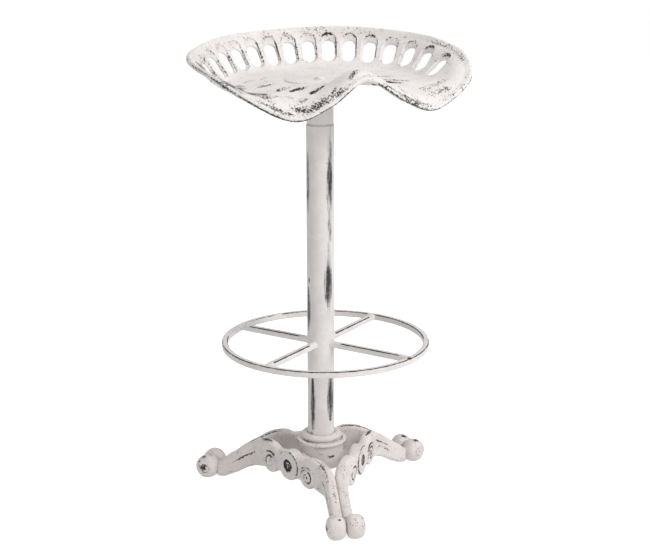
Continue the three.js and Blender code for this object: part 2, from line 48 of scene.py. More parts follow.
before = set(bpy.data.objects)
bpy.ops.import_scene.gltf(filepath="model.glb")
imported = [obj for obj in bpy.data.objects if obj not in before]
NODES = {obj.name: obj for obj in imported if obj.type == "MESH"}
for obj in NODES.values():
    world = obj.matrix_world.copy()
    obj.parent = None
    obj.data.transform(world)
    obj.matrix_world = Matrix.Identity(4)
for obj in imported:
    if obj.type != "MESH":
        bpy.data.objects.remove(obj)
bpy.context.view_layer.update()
MM = 0.001


def node_top(name):
    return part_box(name)[1].z


def node_bottom(name):
    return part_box(name)[0].z


def node_radius(name):
    low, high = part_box(name)
    return (high.x - low.x) / 2


# Sizes and colours


def length(name, description, default):
    return FloatProperty(name=name, description=description, default=default, unit="LENGTH", precision=4)


class StoolSeatSizes(bpy.types.PropertyGroup):
    half_width: length("Half width", "Column's axis to the middle of the rolled edge", 0.215)
    back: length("Back", "Column's axis to the edge's middle at the back", 0.171)
    floor: length("Floor", "Height of the pan's floor", 0.683)
    rise: length("Rise", "Pan's floor to the edge's middle at the back", 0.058)
    aside: length("Aside", "How far the rim is cast off the column's axis, to +X", 0.003)
    wall: length("Wall", "Thickness of the casting", 0.005)
    edge: length("Edge", "Diameter of the rolled edge", 0.0085)
    disc_radius: length("Disc radius", "Raised round in the middle of the pan", 0.0545)
    disc_rise: length("Disc rise", "Height of that round", 0.0015)
    pad_radius: length("Pad radius", "Flat pad under the pan", 0.044)
    pad_depth: length("Pad depth", "Depth of that pad", 0.003)
    slot_width: length("Slot width", "Width of a rim slot", 0.0215)
    slot_length: length("Slot length", "Length of a rim slot", 0.038)
    slot_pitch: length("Slot pitch", "Step from slot to slot along their line", 0.0326)
    slot_inset: length("Slot inset", "Edge's middle to a slot's centre, down the wall", 0.039)
    petal_width: length("Petal width", "Width of a petal opening", 0.015)
    petal_length: length("Petal length", "Length of a petal opening", 0.05)
    slots: IntProperty(name="Slots a side", description="Rim slots on each side", default=9, min=1)


class StoolBaseSizes(bpy.types.PropertyGroup):
    ring_bar: length("Ring bar", "Thickness of the footrest's square bar", 0.010)
    bead_radius: length("Bead radius", "Rounding of the bead round the column's foot", 0.0055)
    bead_centre: length("Bead centre", "Column's axis to the middle of the bead", 0.027)
    drum_radius: length("Drum radius", "Hub's drum", 0.036)
    flange_low: length("Flange", "Height of the hub's flange", 0.086)
    flange_thick: length("Flange thickness", "Thickness of the hub's flange", 0.0055)
    panel_thick: length("Panel thickness", "Thickness of a leg panel", 0.017)
    panel_face: length("Panel face", "Column's axis to a panel's outer face", 0.071)
    foot_reach: length("Foot reach", "Column's axis to a pair of rolls", 0.1995)
    shoulder: length("Shoulder", "Height of a panel's shoulder", 0.085)
    rosette_height: length("Rosette height", "Height of a panel's rosette", 0.059)
    rosette_radius: length("Rosette radius", "Radius of a panel's rosette", 0.025)
    lobe_radius: length("Lobe radius", "Radius of a scrolled lobe", 0.0195)
    lobe_spacing: length("Lobe spacing", "Distance between a panel's two lobes", 0.094)
    lobe_height: length("Lobe height", "Height of the lobes", 0.0525)
    roll_radius: length("Roll radius", "Radius of a foot roll", 0.0195)
    roll_width: length("Roll width", "Width of a foot roll", 0.0284)
    boss_radius: length("Boss radius", "Hub's bosses, one to each panel", 0.013)


def colour(name, description, default):
    return FloatVectorProperty(
        name=name, description=description, default=default, subtype="COLOR", size=3, min=0, max=1
    )


class StoolColours(bpy.types.PropertyGroup):
    paint: colour("Paint", "Off-white top coat", (0.80, 0.765, 0.745))
    thin_paint: colour("Thin paint", "Top coat where it is rubbed thin", (0.46, 0.42, 0.40))
    streak: colour("Streak", "Soft rim of a streak rubbed through on the column", (0.22, 0.22, 0.25))
    dirt: colour("Dirt", "Old dirt in the creases", (0.46, 0.39, 0.31))
    undercoat: colour("Undercoat", "Near-black coat under the paint", (0.022, 0.018, 0.018))
    steel: colour("Steel", "Bright fastenings and the spindle", (0.50, 0.49, 0.47))
    dark_steel: colour("Dark steel", "Blackened bolts", (0.035, 0.03, 0.028))
    polymer: colour("Polymer", "Bushes and thrust washer", (0.66, 0.65, 0.62))


# Meshes, modelled as by hand


def deselect():
    if bpy.context.mode != "OBJECT":
        bpy.ops.object.mode_set(mode="OBJECT")
    bpy.ops.object.select_all(action="DESELECT")


def pick(piece):
    """Selects one piece alone and makes it active."""
    deselect()
    piece.select_set(True)
    bpy.context.view_layer.objects.active = piece
    return piece


def primitive(kind, name, **settings):
    """A primitive at its size and place, with its object back at the origin."""
    deselect()
    getattr(bpy.ops.mesh, f"primitive_{kind}_add")(**settings)
    piece = bpy.context.object
    piece.name = name
    piece.data.name = name
    bpy.ops.object.transform_apply(location=True, rotation=True, scale=True)
    return piece


def points_of(piece):
    co = np.empty(len(piece.data.vertices) * 3)
    piece.data.vertices.foreach_get("co", co)
    return co.reshape(-1, 3)


def set_points(piece, points):
    piece.data.vertices.foreach_set("co", np.asarray(points, float).ravel())
    piece.data.update()


def tidy_mesh(piece, gap=2e-6):
    """Merges doubles, drops faces with no area, and turns every face out."""
    pick(piece)
    bpy.ops.object.mode_set(mode="EDIT")
    bpy.ops.mesh.select_all(action="SELECT")
    bpy.ops.mesh.remove_doubles(threshold=gap)
    bpy.ops.mesh.dissolve_degenerate(threshold=gap)
    bpy.ops.mesh.normals_make_consistent(inside=False)
    bpy.ops.object.mode_set(mode="OBJECT")
    return piece


def formed(name, columns, rows, place):
    """A grid whose points are moved to place(u, v), and which closes where its edges meet."""
    piece = primitive("grid", name, x_subdivisions=columns, y_subdivisions=rows, size=1)
    flat = points_of(piece)
    set_points(piece, place(flat[:, 0] + 0.5, flat[:, 1] + 0.5))
    return tidy_mesh(piece)


def turned(name, profile, steps=96, centre=(0, 0)):
    """A profile of (radius, height) spun round an upright axis."""
    profile = np.asarray(profile, float)
    closed = np.allclose(profile[0], profile[-1])
    if closed:
        profile = profile[:-1]
    piece = primitive("circle", name, vertices=len(profile), radius=1, fill_type="NOTHING")
    set_points(piece, np.column_stack([profile[:, 0], np.zeros(len(profile)), profile[:, 1]]))
    if not closed:
        last = {0, len(profile) - 1}
        for edge in piece.data.edges:
            edge.select = set(edge.vertices) == last
        for vertex in piece.data.vertices:
            vertex.select = False
        pick(piece)
        bpy.ops.object.mode_set(mode="EDIT")
        bpy.ops.mesh.select_mode(type="EDGE")
        bpy.ops.mesh.delete(type="EDGE")
        bpy.ops.mesh.select_mode(type="VERT")
        bpy.ops.object.mode_set(mode="OBJECT")
    pick(piece)
    bpy.ops.object.mode_set(mode="EDIT")
    bpy.ops.mesh.select_all(action="SELECT")
    bpy.ops.mesh.spin(steps=steps, angle=math.tau, center=(0, 0, 0), axis=(0, 0, 1))
    bpy.ops.object.mode_set(mode="OBJECT")
    tidy_mesh(piece)
    piece.data.transform(Matrix.Translation((centre[0], centre[1], 0)))
    return piece


def swept(name, path, radius, sides=8):
    """A round bar along a path of points, with a radius for each; ends of no radius close it."""
    path = np.asarray(path, float)
    radius = np.asarray(radius, float)
    along = np.gradient(path, axis=0)
    along /= np.linalg.norm(along, axis=1)[:, None]
    across = np.cross(along, np.array([0.0, 1.0, 0.0]))
    across /= np.linalg.norm(across, axis=1)[:, None]
    third = np.cross(along, across)

    def place(u, v):
        k = np.rint(v * (len(path) - 1)).astype(int)
        turn = u * math.tau
        ring = np.cos(turn)[:, None] * across[k] + np.sin(turn)[:, None] * third[k]
        return path[k] + radius[k][:, None] * ring

    return formed(name, sides, len(path) - 1, place)


def applied(piece, kind, **settings):
    """A modifier with its settings, applied at once."""
    pick(piece)
    modifier = piece.modifiers.new(kind.lower(), kind)
    for key, value in settings.items():
        setattr(modifier, key, value)
    bpy.ops.object.modifier_apply(modifier=modifier.name)
    return piece


def united(pieces):
    """Joins pieces into the first of them."""
    deselect()
    for piece in pieces:
        piece.select_set(True)
    bpy.context.view_layer.objects.active = pieces[0]
    bpy.ops.object.join()
    return pieces[0]


def with_solid(piece, other, operation):
    """Joins or cuts a piece with another closed one, which is used up."""
    applied(piece, "BOOLEAN", operation=operation, object=other, solver="EXACT")
    bpy.data.objects.remove(other)
    if len(piece.data.polygons) == 0:
        raise RuntimeError(f"{piece.name}: nothing is left of it after {operation}")
    return piece


def copied(piece, name, matrix=None):
    """A copy with a mesh of its own, moved by a matrix."""
    other = piece.copy()
    other.data = piece.data.copy()
    other.name = name
    other.data.name = name
    bpy.context.scene.collection.objects.link(other)
    if matrix is not None:
        other.data.transform(matrix)
    return other


def smoothed(piece, angle=40):
    pick(piece)
    bpy.ops.object.shade_smooth_by_angle(angle=math.radians(angle))
    return piece


def rounded(corners, radii, steps=5):
    """A line through corner points, each corner rounded by its radius."""
    corners = [np.asarray(p, float) for p in corners]
    line = [corners[0]]
    for before, corner, after, radius in zip(corners, corners[1:], corners[2:], radii):
        if radius <= 0:
            line.append(corner)
            continue
        back = before - corner
        on = after - corner
        reach = min(radius, 0.49 * np.linalg.norm(back), 0.49 * np.linalg.norm(on))
        start = corner + back / np.linalg.norm(back) * reach
        end = corner + on / np.linalg.norm(on) * reach
        for k in range(steps + 1):
            t = k / steps
            line.append((1 - t) ** 2 * start + 2 * t * (1 - t) * corner + t**2 * end)
    line.append(corners[-1])
    return np.array(line)


def spaced(line, step):
    """The same line with points no further apart than a step."""
    out = [line[0]]
    for a, b in zip(line, line[1:]):
        parts = max(1, math.ceil(np.linalg.norm(np.subtract(b, a)) / step))
        out += [np.add(a, np.subtract(b, a) * (k + 1) / parts) for k in range(parts)]
    return np.array(out)


def between(a, b, c, d, u):
    """Smooth value between b and c of a row of four."""
    return 0.5 * (
        2 * b + (c - a) * u + (2 * a - 5 * b + 4 * c - d) * u**2 + (3 * b - a - 3 * c + d) * u**3
    )


def eased(x, xs, ys):
    """Smooth curve through points, at x."""
    xs, ys = np.asarray(xs, float), np.asarray(ys, float)
    slopes = np.gradient(ys, xs)
    k = np.clip(np.searchsorted(xs, x) - 1, 0, len(xs) - 2)
    h = xs[k + 1] - xs[k]
    t = (x - xs[k]) / h
    return (
        (1 + 2 * t) * (1 - t) ** 2 * ys[k]
        + t * (1 - t) ** 2 * h * slopes[k]
        + t**2 * (3 - 2 * t) * ys[k + 1]
        + t**2 * (t - 1) * h * slopes[k + 1]
    )


def turn_z(degrees):
    """A turn round the column's axis."""
    return Matrix.Rotation(math.radians(degrees), 4, "Z")


# Wear kept on the meshes


def keep(piece, name, values):
    """Keeps a value from 0 to 1 for each point of a mesh."""
    mesh = piece.data
    attribute = mesh.attributes.get(name) or mesh.attributes.new(name, "FLOAT", "POINT")
    attribute.data.foreach_set("value", np.clip(values, 0, 1).astype(np.float32))


def spread(values, ends, rounds):
    """Evens values out over a mesh's edges."""
    count = np.bincount(ends.ravel(), minlength=len(values)).astype(float)
    count[count == 0] = 1
    for _ in range(rounds):
        total = np.zeros(len(values))
        np.add.at(total, ends[:, 0], values[ends[:, 1]])
        np.add.at(total, ends[:, 1], values[ends[:, 0]])
        values = 0.5 * values + 0.5 * total / count
    return values


def weather(piece, marks=(), edge_gain=3.0, rounds=2):
    """Keeps, for each point, how much of an edge or a crease it is, and how far it is rubbed.

    A mark is (start, end, reach, strength): the paint is rubbed within reach of that line, and the petals'
    marks paint shade there."""
    mesh = piece.data
    at = points_of(piece)
    normals = np.empty(len(at) * 3)
    mesh.vertex_normals.foreach_get("vector", normals)
    normals = normals.reshape(-1, 3)
    ends = np.empty(len(mesh.edges) * 2, dtype=np.int64)
    mesh.edges.foreach_get("vertices", ends)
    ends = ends.reshape(-1, 2)
    way = at[ends[:, 0]] - at[ends[:, 1]]
    way /= np.maximum(np.linalg.norm(way, axis=1), 1e-9)[:, None]
    bend = np.zeros(len(at))
    count = np.zeros(len(at))
    np.add.at(bend, ends[:, 0], (normals[ends[:, 0]] * way).sum(1))
    np.add.at(bend, ends[:, 1], -(normals[ends[:, 1]] * way).sum(1))
    np.add.at(count, ends.ravel(), 1)
    bend /= np.maximum(count, 1)
    keep(piece, "edge", spread(np.clip(bend, 0, 1) * edge_gain, ends, rounds))
    keep(piece, "crease", spread(np.clip(-bend, 0, 1) * edge_gain, ends, 1))
    rubbed = np.zeros(len(at))
    for start, end, reach, strength in marks:
        start, end = np.asarray(start, float), np.asarray(end, float)
        line = end - start
        share = np.clip(((at - start) @ line) / max(line @ line, 1e-12), 0, 1)
        gap = np.linalg.norm(at - start - share[:, None] * line, axis=1)
        near = np.clip(1 - gap / reach, 0, 1)
        rubbed = np.maximum(rubbed, strength * near * near * (3 - 2 * near))
    # rubbed holds the wear marks, and on the pan also the painted shade of the petals' walls.
    keep(piece, "rubbed", rubbed)
    return piece


def brushed(points, reach, strength, fade=0.0):
    """Marks along a line of points, narrower and by fade also weaker towards its ends."""
    parts = len(points) - 1
    swell = [math.sin(math.pi * (k + 0.5) / parts) for k in range(parts)]
    return [(a, b, reach * (0.5 + 0.5 * s), strength * (1 - fade * (1 - s)))
            for a, b, s in zip(points, points[1:], swell)]


def on_round(direction, radius, height):
    """A point round the column's axis."""
    turn = math.radians(direction)
    return (radius * math.sin(turn), -radius * math.cos(turn), height)


# Finishes


def add(tree, kind, inputs=None, **settings):
    """A shader node with its settings, and values or links for its inputs."""
    item = tree.nodes.new("ShaderNode" + kind)
    for key, value in settings.items():
        setattr(item, key, value)
    for key, value in (inputs or {}).items():
        if isinstance(value, bpy.types.NodeSocket):
            tree.links.new(value, item.inputs[key])
        else:
            item.inputs[key].default_value = value
    return item


def maths(tree, operation, a, b=0.0, clamp=False):
    return add(tree, "Math", {0: a, 1: b}, operation=operation, use_clamp=clamp).outputs[0]


def ramp(tree, value, low, high, to_low=0.0, to_high=1.0):
    """A soft step from one value to another."""
    sockets = {"Value": value, "From Min": low, "From Max": high, "To Min": to_low, "To Max": to_high}
    return add(tree, "MapRange", sockets, interpolation_type="SMOOTHSTEP").outputs["Result"]


def noise(tree, vector, scale, detail=4.0, roughness=0.6):
    sockets = {"Vector": vector, "Scale": scale, "Detail": detail, "Roughness": roughness}
    return add(tree, "TexNoise", sockets).outputs["Fac"]


def mixed(tree, share, a, b):
    """A colour that goes from a to b with the share."""
    item = add(tree, "Mix", data_type="RGBA")
    for socket, value in ((item.inputs[0], share), (item.inputs[6], a), (item.inputs[7], b)):
        if isinstance(value, bpy.types.NodeSocket):
            tree.links.new(value, socket)
        else:
            socket.default_value = value
    return item.outputs[2]


def shader_group(name, inputs, outputs):
    """An empty node group with named inputs (name, type, default) and outputs (name, type)."""
    group = bpy.data.node_groups.new(name, "ShaderNodeTree")
    for label, kind, default in inputs:
        socket = group.interface.new_socket(label, in_out="INPUT", socket_type="NodeSocket" + kind)
        if default is not None:
            socket.default_value = default
    for label, kind in outputs:
        group.interface.new_socket(label, in_out="OUTPUT", socket_type="NodeSocket" + kind)
    return group, group.nodes.new("NodeGroupInput").outputs, group.nodes.new("NodeGroupOutput").inputs


def worn_paint_group():
    """Where the undercoat shows: rubbed places, the painted shade on the petals' walls, edges and creases,
    broken up into flakes.
    """
    group, given, out = shader_group(
        "worn_paint",
        [
            ("Vector", "Vector", None),
            ("Rubbed", "Float", 0.0),
            ("Edge", "Float", 0.0),
            ("Crease", "Float", 0.0),
            ("Edge Wear", "Float", 0.5),
            ("Crease Dirt", "Float", 0.5),
            ("Specks", "Float", 0.1),
            ("Flake Scale", "Float", 320.0),
            ("Flake Contrast", "Float", 2.6),
            ("Feather", "Float", 0.0),
            ("Softness", "Float", 0.05),
            ("Brush", "Float", 0.0),
        ],
        [("Bare", "Float"), ("Thin", "Float"), ("Feather", "Float"), ("Height", "Float")],
    )

    def calc(operation, a, b=0.0):
        return maths(group, operation, a, b)

    def about_middle(value, gain):
        return calc("MULTIPLY", calc("SUBTRACT", value, 0.5), gain)

    at = given["Vector"]
    fine = noise(group, at, given["Flake Scale"], 5.0, 0.72)
    patch = noise(group, at, 60.0, 3.0, 0.6)
    broad = noise(group, at, 13.0, 2.0, 0.5)
    speck = noise(group, at, 620.0, 2.0, 0.5)
    long_way = add(group, "Mapping", {"Vector": at, "Scale": (1.0, 1.0, 0.05)}).outputs[0]
    brush = noise(group, long_way, 620.0, 3.0, 0.6)
    flakes = calc("SUBTRACT", calc("ADD", about_middle(fine, given["Flake Contrast"]),
                                   about_middle(patch, 0.8)), 0.04)
    uneven = ramp(group, broad, 0.38, 0.62, 0.3, 1.2)
    edge = calc("MULTIPLY", calc("MULTIPLY", given["Edge"], given["Edge Wear"]), uneven)
    crease = calc("MULTIPLY", calc("MULTIPLY", given["Crease"], given["Crease Dirt"]), uneven)
    rubbed = calc("MULTIPLY", given["Rubbed"], 0.85)
    strokes = calc("MULTIPLY", about_middle(brush, given["Brush"]), ramp(group, given["Rubbed"], 0.0, 0.4))
    total = calc("ADD", calc("ADD", edge, crease), calc("ADD", calc("ADD", rubbed, strokes), flakes))
    half_bare = 0.45
    bare = ramp(group, total, calc("SUBTRACT", half_bare, given["Softness"]),
                calc("ADD", half_bare, given["Softness"]))
    dots = calc("ADD", about_middle(speck, 2.4), given["Specks"])
    dots = calc("ADD", dots, calc("MULTIPLY", given["Rubbed"], 0.3))
    dots = calc("MULTIPLY", ramp(group, dots, 0.60, 0.70), ramp(group, patch, 0.43, 0.60))
    bare = calc("MAXIMUM", bare, dots)
    haze = ramp(group, calc("ADD", given["Rubbed"], about_middle(brush, 0.7)), 0.05, 0.75)
    within = calc("MULTIPLY", given["Feather"], ramp(group, given["Rubbed"], 0.0, 0.15))
    results = {
        "Bare": bare,
        "Thin": calc("MULTIPLY", ramp(group, total, 0.16, 0.46), 0.5),
        "Feather": calc("MULTIPLY", haze, within),
        "Height": calc("SUBTRACT", 1.0, bare),
    }
    for label, value in results.items():
        group.links.new(value, out[label])
    return group


def cast_grain_group():
    """Fine pitting and soft lumps of a sand-cast, brush-painted surface."""
    group, given, out = shader_group(
        "cast_grain",
        [("Vector", "Vector", None), ("Grain Scale", "Float", 700.0), ("Lumps", "Float", 0.5)],
        [("Height", "Float"), ("Tone", "Float")],
    )
    at = given["Vector"]
    grain = noise(group, at, given["Grain Scale"], 3.0, 0.65)
    lumps = noise(group, at, 95.0, 2.0, 0.5)
    height = maths(group, "ADD", grain, maths(group, "MULTIPLY", lumps, given["Lumps"]))
    tone = maths(group, "ADD", maths(group, "MULTIPLY", noise(group, at, 22.0, 3.0, 0.6), 0.7),
                 maths(group, "MULTIPLY", noise(group, at, 260.0, 3.0, 0.6), 0.3))
    group.links.new(height, out["Height"])
    group.links.new(ramp(group, tone, 0.36, 0.64), out["Tone"])
    return group


def streak_group():
    """Fine marks left by turning or grinding, for bare metal."""
    group, given, out = shader_group(
        "metal_marks",
        [("Vector", "Vector", None), ("Scale", "Float", 300.0)],
        [("Height", "Float"), ("Tone", "Float")],
    )
    long_way = add(group, "Mapping", {"Vector": given["Vector"], "Scale": (1.0, 1.0, 6.0)}).outputs[0]
    fine = noise(group, long_way, given["Scale"], 4.0, 0.7)
    stain = noise(group, given["Vector"], 70.0, 3.0, 0.6)
    group.links.new(fine, out["Height"])
    group.links.new(ramp(group, maths(group, "ADD", maths(group, "MULTIPLY", fine, 0.4),
                                      maths(group, "MULTIPLY", stain, 0.6)), 0.35, 0.65), out["Tone"])
    return group


def rgba(rgb, share=1.0):
    """A colour for a socket, darkened by a share."""
    return (rgb[0] * share, rgb[1] * share, rgb[2] * share, 1.0)


def new_material(name):
    """An empty material, its tree, its surface socket and Object coordinates."""
    material = bpy.data.materials.new(name)
    material.use_nodes = True
    tree = material.node_tree
    tree.nodes.clear()
    surface = tree.nodes.new("ShaderNodeOutputMaterial").inputs["Surface"]
    place = tree.nodes.new("ShaderNodeTexCoord").outputs["Object"]
    return material, tree, surface, place


def placed_group(tree, group, inputs):
    """A group placed in a material with its own values; gives its outputs."""
    item = tree.nodes.new("ShaderNodeGroup")
    item.node_tree = group
    for key, value in inputs.items():
        if isinstance(value, bpy.types.NodeSocket):
            tree.links.new(value, item.inputs[key])
        else:
            item.inputs[key].default_value = value
    return item.outputs


def paint_material(name, groups, colours, tint=(1, 1, 1), grain=700.0, lumps=0.5, grain_depth=0.00012,
                   **wear):
    """Off-white eggshell paint over a near-black undercoat, worn by the mesh's own marks."""
    material, tree, surface, place = new_material(name)
    inputs = {"Vector": place}
    # The rubbed attribute also carries the painted shade of the petals' walls.
    for label, attribute in (("Rubbed", "rubbed"), ("Edge", "edge"), ("Crease", "crease")):
        inputs[label] = add(tree, "Attribute", attribute_name=attribute).outputs["Fac"]
    inputs.update({key.replace("_", " ").title(): value for key, value in wear.items()})
    worn = placed_group(tree, groups["worn"], inputs)
    cast = placed_group(tree, groups["grain"], {"Vector": place, "Grain Scale": grain, "Lumps": lumps})
    light = rgba([c * t for c, t in zip(colours.paint, tint)])
    shade = rgba([c * t * s for c, t, s in zip(colours.paint, tint, (0.9, 0.885, 0.88))])
    coat = mixed(tree, cast["Tone"], shade, light)
    coat = mixed(tree, maths(tree, "MULTIPLY", inputs["Crease"], 0.4), coat, rgba(colours.dirt))
    coat = mixed(tree, worn["Thin"], coat, rgba(colours.thin_paint))
    coat = mixed(tree, worn["Feather"], coat, rgba(colours.streak))
    # Bare places take the undercoat colour. On the petals' walls this is painted shade.
    base = mixed(tree, worn["Bare"], coat, rgba(colours.undercoat))
    rough = ramp(tree, worn["Bare"], 0.0, 1.0, 0.52, 0.62)
    fine = add(tree, "Bump", {"Strength": 0.55, "Distance": grain_depth, "Height": cast["Height"]})
    step = add(tree, "Bump", {"Strength": 0.8, "Distance": 0.00025, "Height": worn["Height"],
                              "Normal": fine.outputs[0]})
    shader = add(tree, "BsdfPrincipled", {
        "Base Color": base, "Roughness": rough, "Normal": step.outputs[0],
        "Metallic": 0.0, "Specular IOR Level": 0.4,
    })
    tree.links.new(shader.outputs[0], surface)
    return material


def metal_material(name, groups, rgb, metallic, roughness, scale=300.0, dull=0.6, paint=None):
    """Bare metal; with a paint colour, flakes of that paint are left on it."""
    material, tree, surface, place = new_material(name)
    marks = placed_group(tree, groups["marks"], {"Vector": place, "Scale": scale})
    base = mixed(tree, marks["Tone"], rgba(rgb, dull), rgba(rgb))
    if paint:
        left = ramp(tree, noise(tree, place, 310.0, 3.0, 0.65), 0.55, 0.60)
        base = mixed(tree, left, base, rgba(paint))
        metallic = maths(tree, "MULTIPLY", maths(tree, "SUBTRACT", 1.0, left), metallic)
    rough = ramp(tree, marks["Tone"], 0.0, 1.0, roughness + 0.15, roughness)
    bump = add(tree, "Bump", {"Strength": 0.3, "Distance": 0.00008, "Height": marks["Height"]})
    shader = add(tree, "BsdfPrincipled", {
        "Base Color": base, "Roughness": rough, "Metallic": metallic, "Normal": bump.outputs[0],
    })
    tree.links.new(shader.outputs[0], surface)
    return material


def finishes():
    """The materials, made once and kept by name."""
    if "white_casting" in bpy.data.materials:
        return bpy.data.materials
    colours = bpy.context.scene.stool_colours
    groups = {"worn": worn_paint_group(), "grain": cast_grain_group(), "marks": streak_group()}
    paint_material("white_casting", groups, colours, specks=0.08, flake_scale=330.0, flake_contrast=2.9,
                   edge_wear=0.5, crease_dirt=0.6)
    paint_material("white_base", groups, colours, tint=(1.0, 0.98, 0.97), specks=0.3, flake_scale=360.0,
                   flake_contrast=2.5, edge_wear=0.55, crease_dirt=1.0)
    paint_material("white_tube", groups, colours, tint=(0.985, 0.99, 0.985), lumps=0.15, specks=0.0,
                   grain_depth=0.00004, flake_scale=260.0, flake_contrast=0.7,
                   feather=0.9, softness=0.3, brush=2.6)
    paint_material("white_weldment", groups, colours, lumps=0.3, grain_depth=0.00006, specks=0.05,
                   edge_wear=0.5, flake_scale=320.0, flake_contrast=1.1)
    metal_material("bright_steel", groups, colours.steel, 0.9, 0.34)
    metal_material("black_bolt", groups, colours.dark_steel, 0.5, 0.55, scale=420.0, paint=colours.paint)
    metal_material("pale_polymer", groups, colours.polymer, 0.0, 0.5, scale=500.0, dull=0.9)
    return bpy.data.materials


def finish_piece(piece, material, slot, body, *nodes):
    """Gives a finished piece its material and body, and hides the nodes that it stands for; the slot is not
    used.
    """
    piece.data.materials.clear()
    piece.data.materials.append(finishes()[material])
    if nodes:
        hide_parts(*nodes)
    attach(piece, body)
    return piece


# The pan's surface

STATIONS = np.array([0, 0.3, 0.5, 0.64, 0.74, 0.83, 0.92, 1])  # shares of the way out to the edge
PAN_ROWS = [  # from the back round to the front: x and y of the edge, heights at the stations, as shares
    (0, 0.985, (0, 0, 0.005, 0.02, 0.07, 0.22, 0.61, 1.02)),
    (0.269, 0.942, (0, 0, 0.005, 0.02, 0.065, 0.22, 0.61, 1.022)),
    (0.523, 0.813, (0, 0, 0.005, 0.02, 0.06, 0.2, 0.59, 1)),
    (0.741, 0.602, (0, 0, 0, 0.01, 0.045, 0.2, 0.58, 0.92)),
    (0.907, 0.339, (0, 0, -0.01, -0.01, 0.02, 0.2, 0.56, 0.83)),
    (0.991, -0.058, (0, 0, -0.02, -0.03, 0, 0.2, 0.54, 0.72)),
    (0.991, -0.433, (0, 0, -0.02, -0.03, 0, 0.16, 0.42, 0.53)),
    (0.866, -0.75, (0, 0.02, 0.02, 0, 0.01, 0.03, 0.06, 0.06)),
    (0.551, -0.868, (0, 0.02, 0.03, 0, -0.06, -0.16, -0.3, -0.522)),
    (0.285, -0.903, (0, 0.02, 0.08, 0.13, 0.15, 0.11, 0, -0.21)),
    (0, -0.87, (0, 0.04, 0.26, 0.41, 0.48, 0.51, 0.465, 0.357)),
]
HALF_ROWS = len(PAN_ROWS) - 1
ALL_ROWS = 2 * HALF_ROWS
ROUND_ROWS = PAN_ROWS + [(-x, y, heights) for x, y, heights in PAN_ROWS[-2:0:-1]]
ROW_X = np.array([row[0] for row in ROUND_ROWS])
ROW_Y = np.array([row[1] for row in ROUND_ROWS])
ROW_Z = np.array([row[2] for row in ROUND_ROWS])
TWIST_FROM = -0.125  # the pan leans to one side from here back, fully after the twist's length
TWIST_LENGTH = 0.15
TWIST = math.radians(2)
PROBE = 0.01  # step, in rows or as a share, that the pan's slopes are taken over


def pan_point(direction, share):
    """A point of the upper surface, for a direction in rows and a share of the way out."""
    sizes = bpy.context.scene.stool_seat
    direction, share = np.broadcast_arrays(np.asarray(direction, float), np.asarray(share, float))
    first = np.floor(direction).astype(int)
    u = direction - first
    rows = [(first + step) % ALL_ROWS for step in (-1, 0, 1, 2)]
    x = (between(*[ROW_X[r] for r in rows], u) * sizes.half_width + sizes.aside) * share
    y = between(*[ROW_Y[r] for r in rows], u) * sizes.back * share
    last = len(STATIONS) - 1
    k = np.clip(np.searchsorted(STATIONS, share, side="left") - 1, 0, last - 1)
    t = (share - STATIONS[k]) / (STATIONS[k + 1] - STATIONS[k])

    def row_height(h):
        def at_station(index):
            return np.take_along_axis(h, index[..., None], -1)[..., 0]

        before = at_station(np.where(k > 0, k - 1, 1))
        past = 2 * h[..., last] - h[..., last - 1]
        beyond = np.where(k + 2 <= last, at_station(np.minimum(k + 2, last)), past)
        return between(before, at_station(k), at_station(k + 1), beyond, t)

    heights = [row_height(ROW_Z[r]) for r in rows]
    twist = np.clip((y - TWIST_FROM) / TWIST_LENGTH, 0, 1) * TWIST
    z = sizes.floor + between(*heights, u) * sizes.rise + x * share * np.tan(twist)
    return np.stack([x, y, z], -1)


def pan_frame(direction, share):
    """The point, the way up the wall, and the way out of the metal."""
    s = np.maximum(share, 2 * PROBE)
    up = pan_point(direction, s + PROBE) - pan_point(direction, s - PROBE)
    around = pan_point(direction + PROBE, s) - pan_point(direction - PROBE, s)
    normal = np.cross(around, up)
    up /= np.linalg.norm(up, axis=-1, keepdims=True)
    normal /= np.linalg.norm(normal, axis=-1, keepdims=True)
    return pan_point(direction, share), up, normal


def share_below_edge(direction, distance):
    """Share of the way out at which the wall lies this far down from the edge."""
    shares = np.arange(1, 0.3, -PROBE / 2)
    line = pan_point(direction, shares)
    lengths = np.concatenate([[0], np.cumsum(np.linalg.norm(np.diff(line, axis=0), axis=1))])
    return float(np.interp(distance, lengths, shares))


SLOT_SPREAD = 30 * MM  # how much further round than its pitch the last slot lies
SLOT_DROP = 7 * MM  # how much further down the wall
SLOT_LEAN = 16  # degrees that the last slot leans to the back
SLOT_DISH = 12.1  # millimetres from a slot's end to the end of its dish
CUT_REACH = 13.5  # millimetres that a cutter stands out of the metal


def slot_places():
    """One side's slots: direction in rows, share of the way out, degrees leant to the back."""
    sizes = bpy.context.scene.stool_seat
    steps = np.arange(0, 8, 0.05)
    line = np.array([pan_point(d, share_below_edge(d, sizes.slot_inset)) for d in steps])
    lengths = np.concatenate([[0], np.cumsum(np.linalg.norm(np.diff(line, axis=0), axis=1))])
    places = []
    for k in range(sizes.slots):
        forward = k / (sizes.slots - 1)
        way = (k + 0.5) * sizes.slot_pitch + SLOT_SPREAD * forward**4
        direction = float(np.interp(way, lengths, steps))
        share = share_below_edge(direction, sizes.slot_inset + SLOT_DROP * forward**2)
        places.append((direction, share, SLOT_LEAN * forward))
    return places


PETALS = [  # one side's: direction in rows, share of the way out, degrees turned
    (4.98, 0.46, -26), (6.95, 0.506, -8), (7.67, 0.535, 13), (8.62, 0.68, 30),
]


def laid_on_pan(direction, share, turn):
    """The matrix that lays a cutter square on the pan, turned in the surface."""
    at, up, normal = (Vector(v) for v in pan_frame(direction, share))
    along = Matrix.Rotation(math.radians(turn), 3, normal) @ up
    across = along.cross(normal)
    turned_to = Matrix((across, along, normal)).transposed().to_4x4()
    return Matrix.Translation(at) @ turned_to


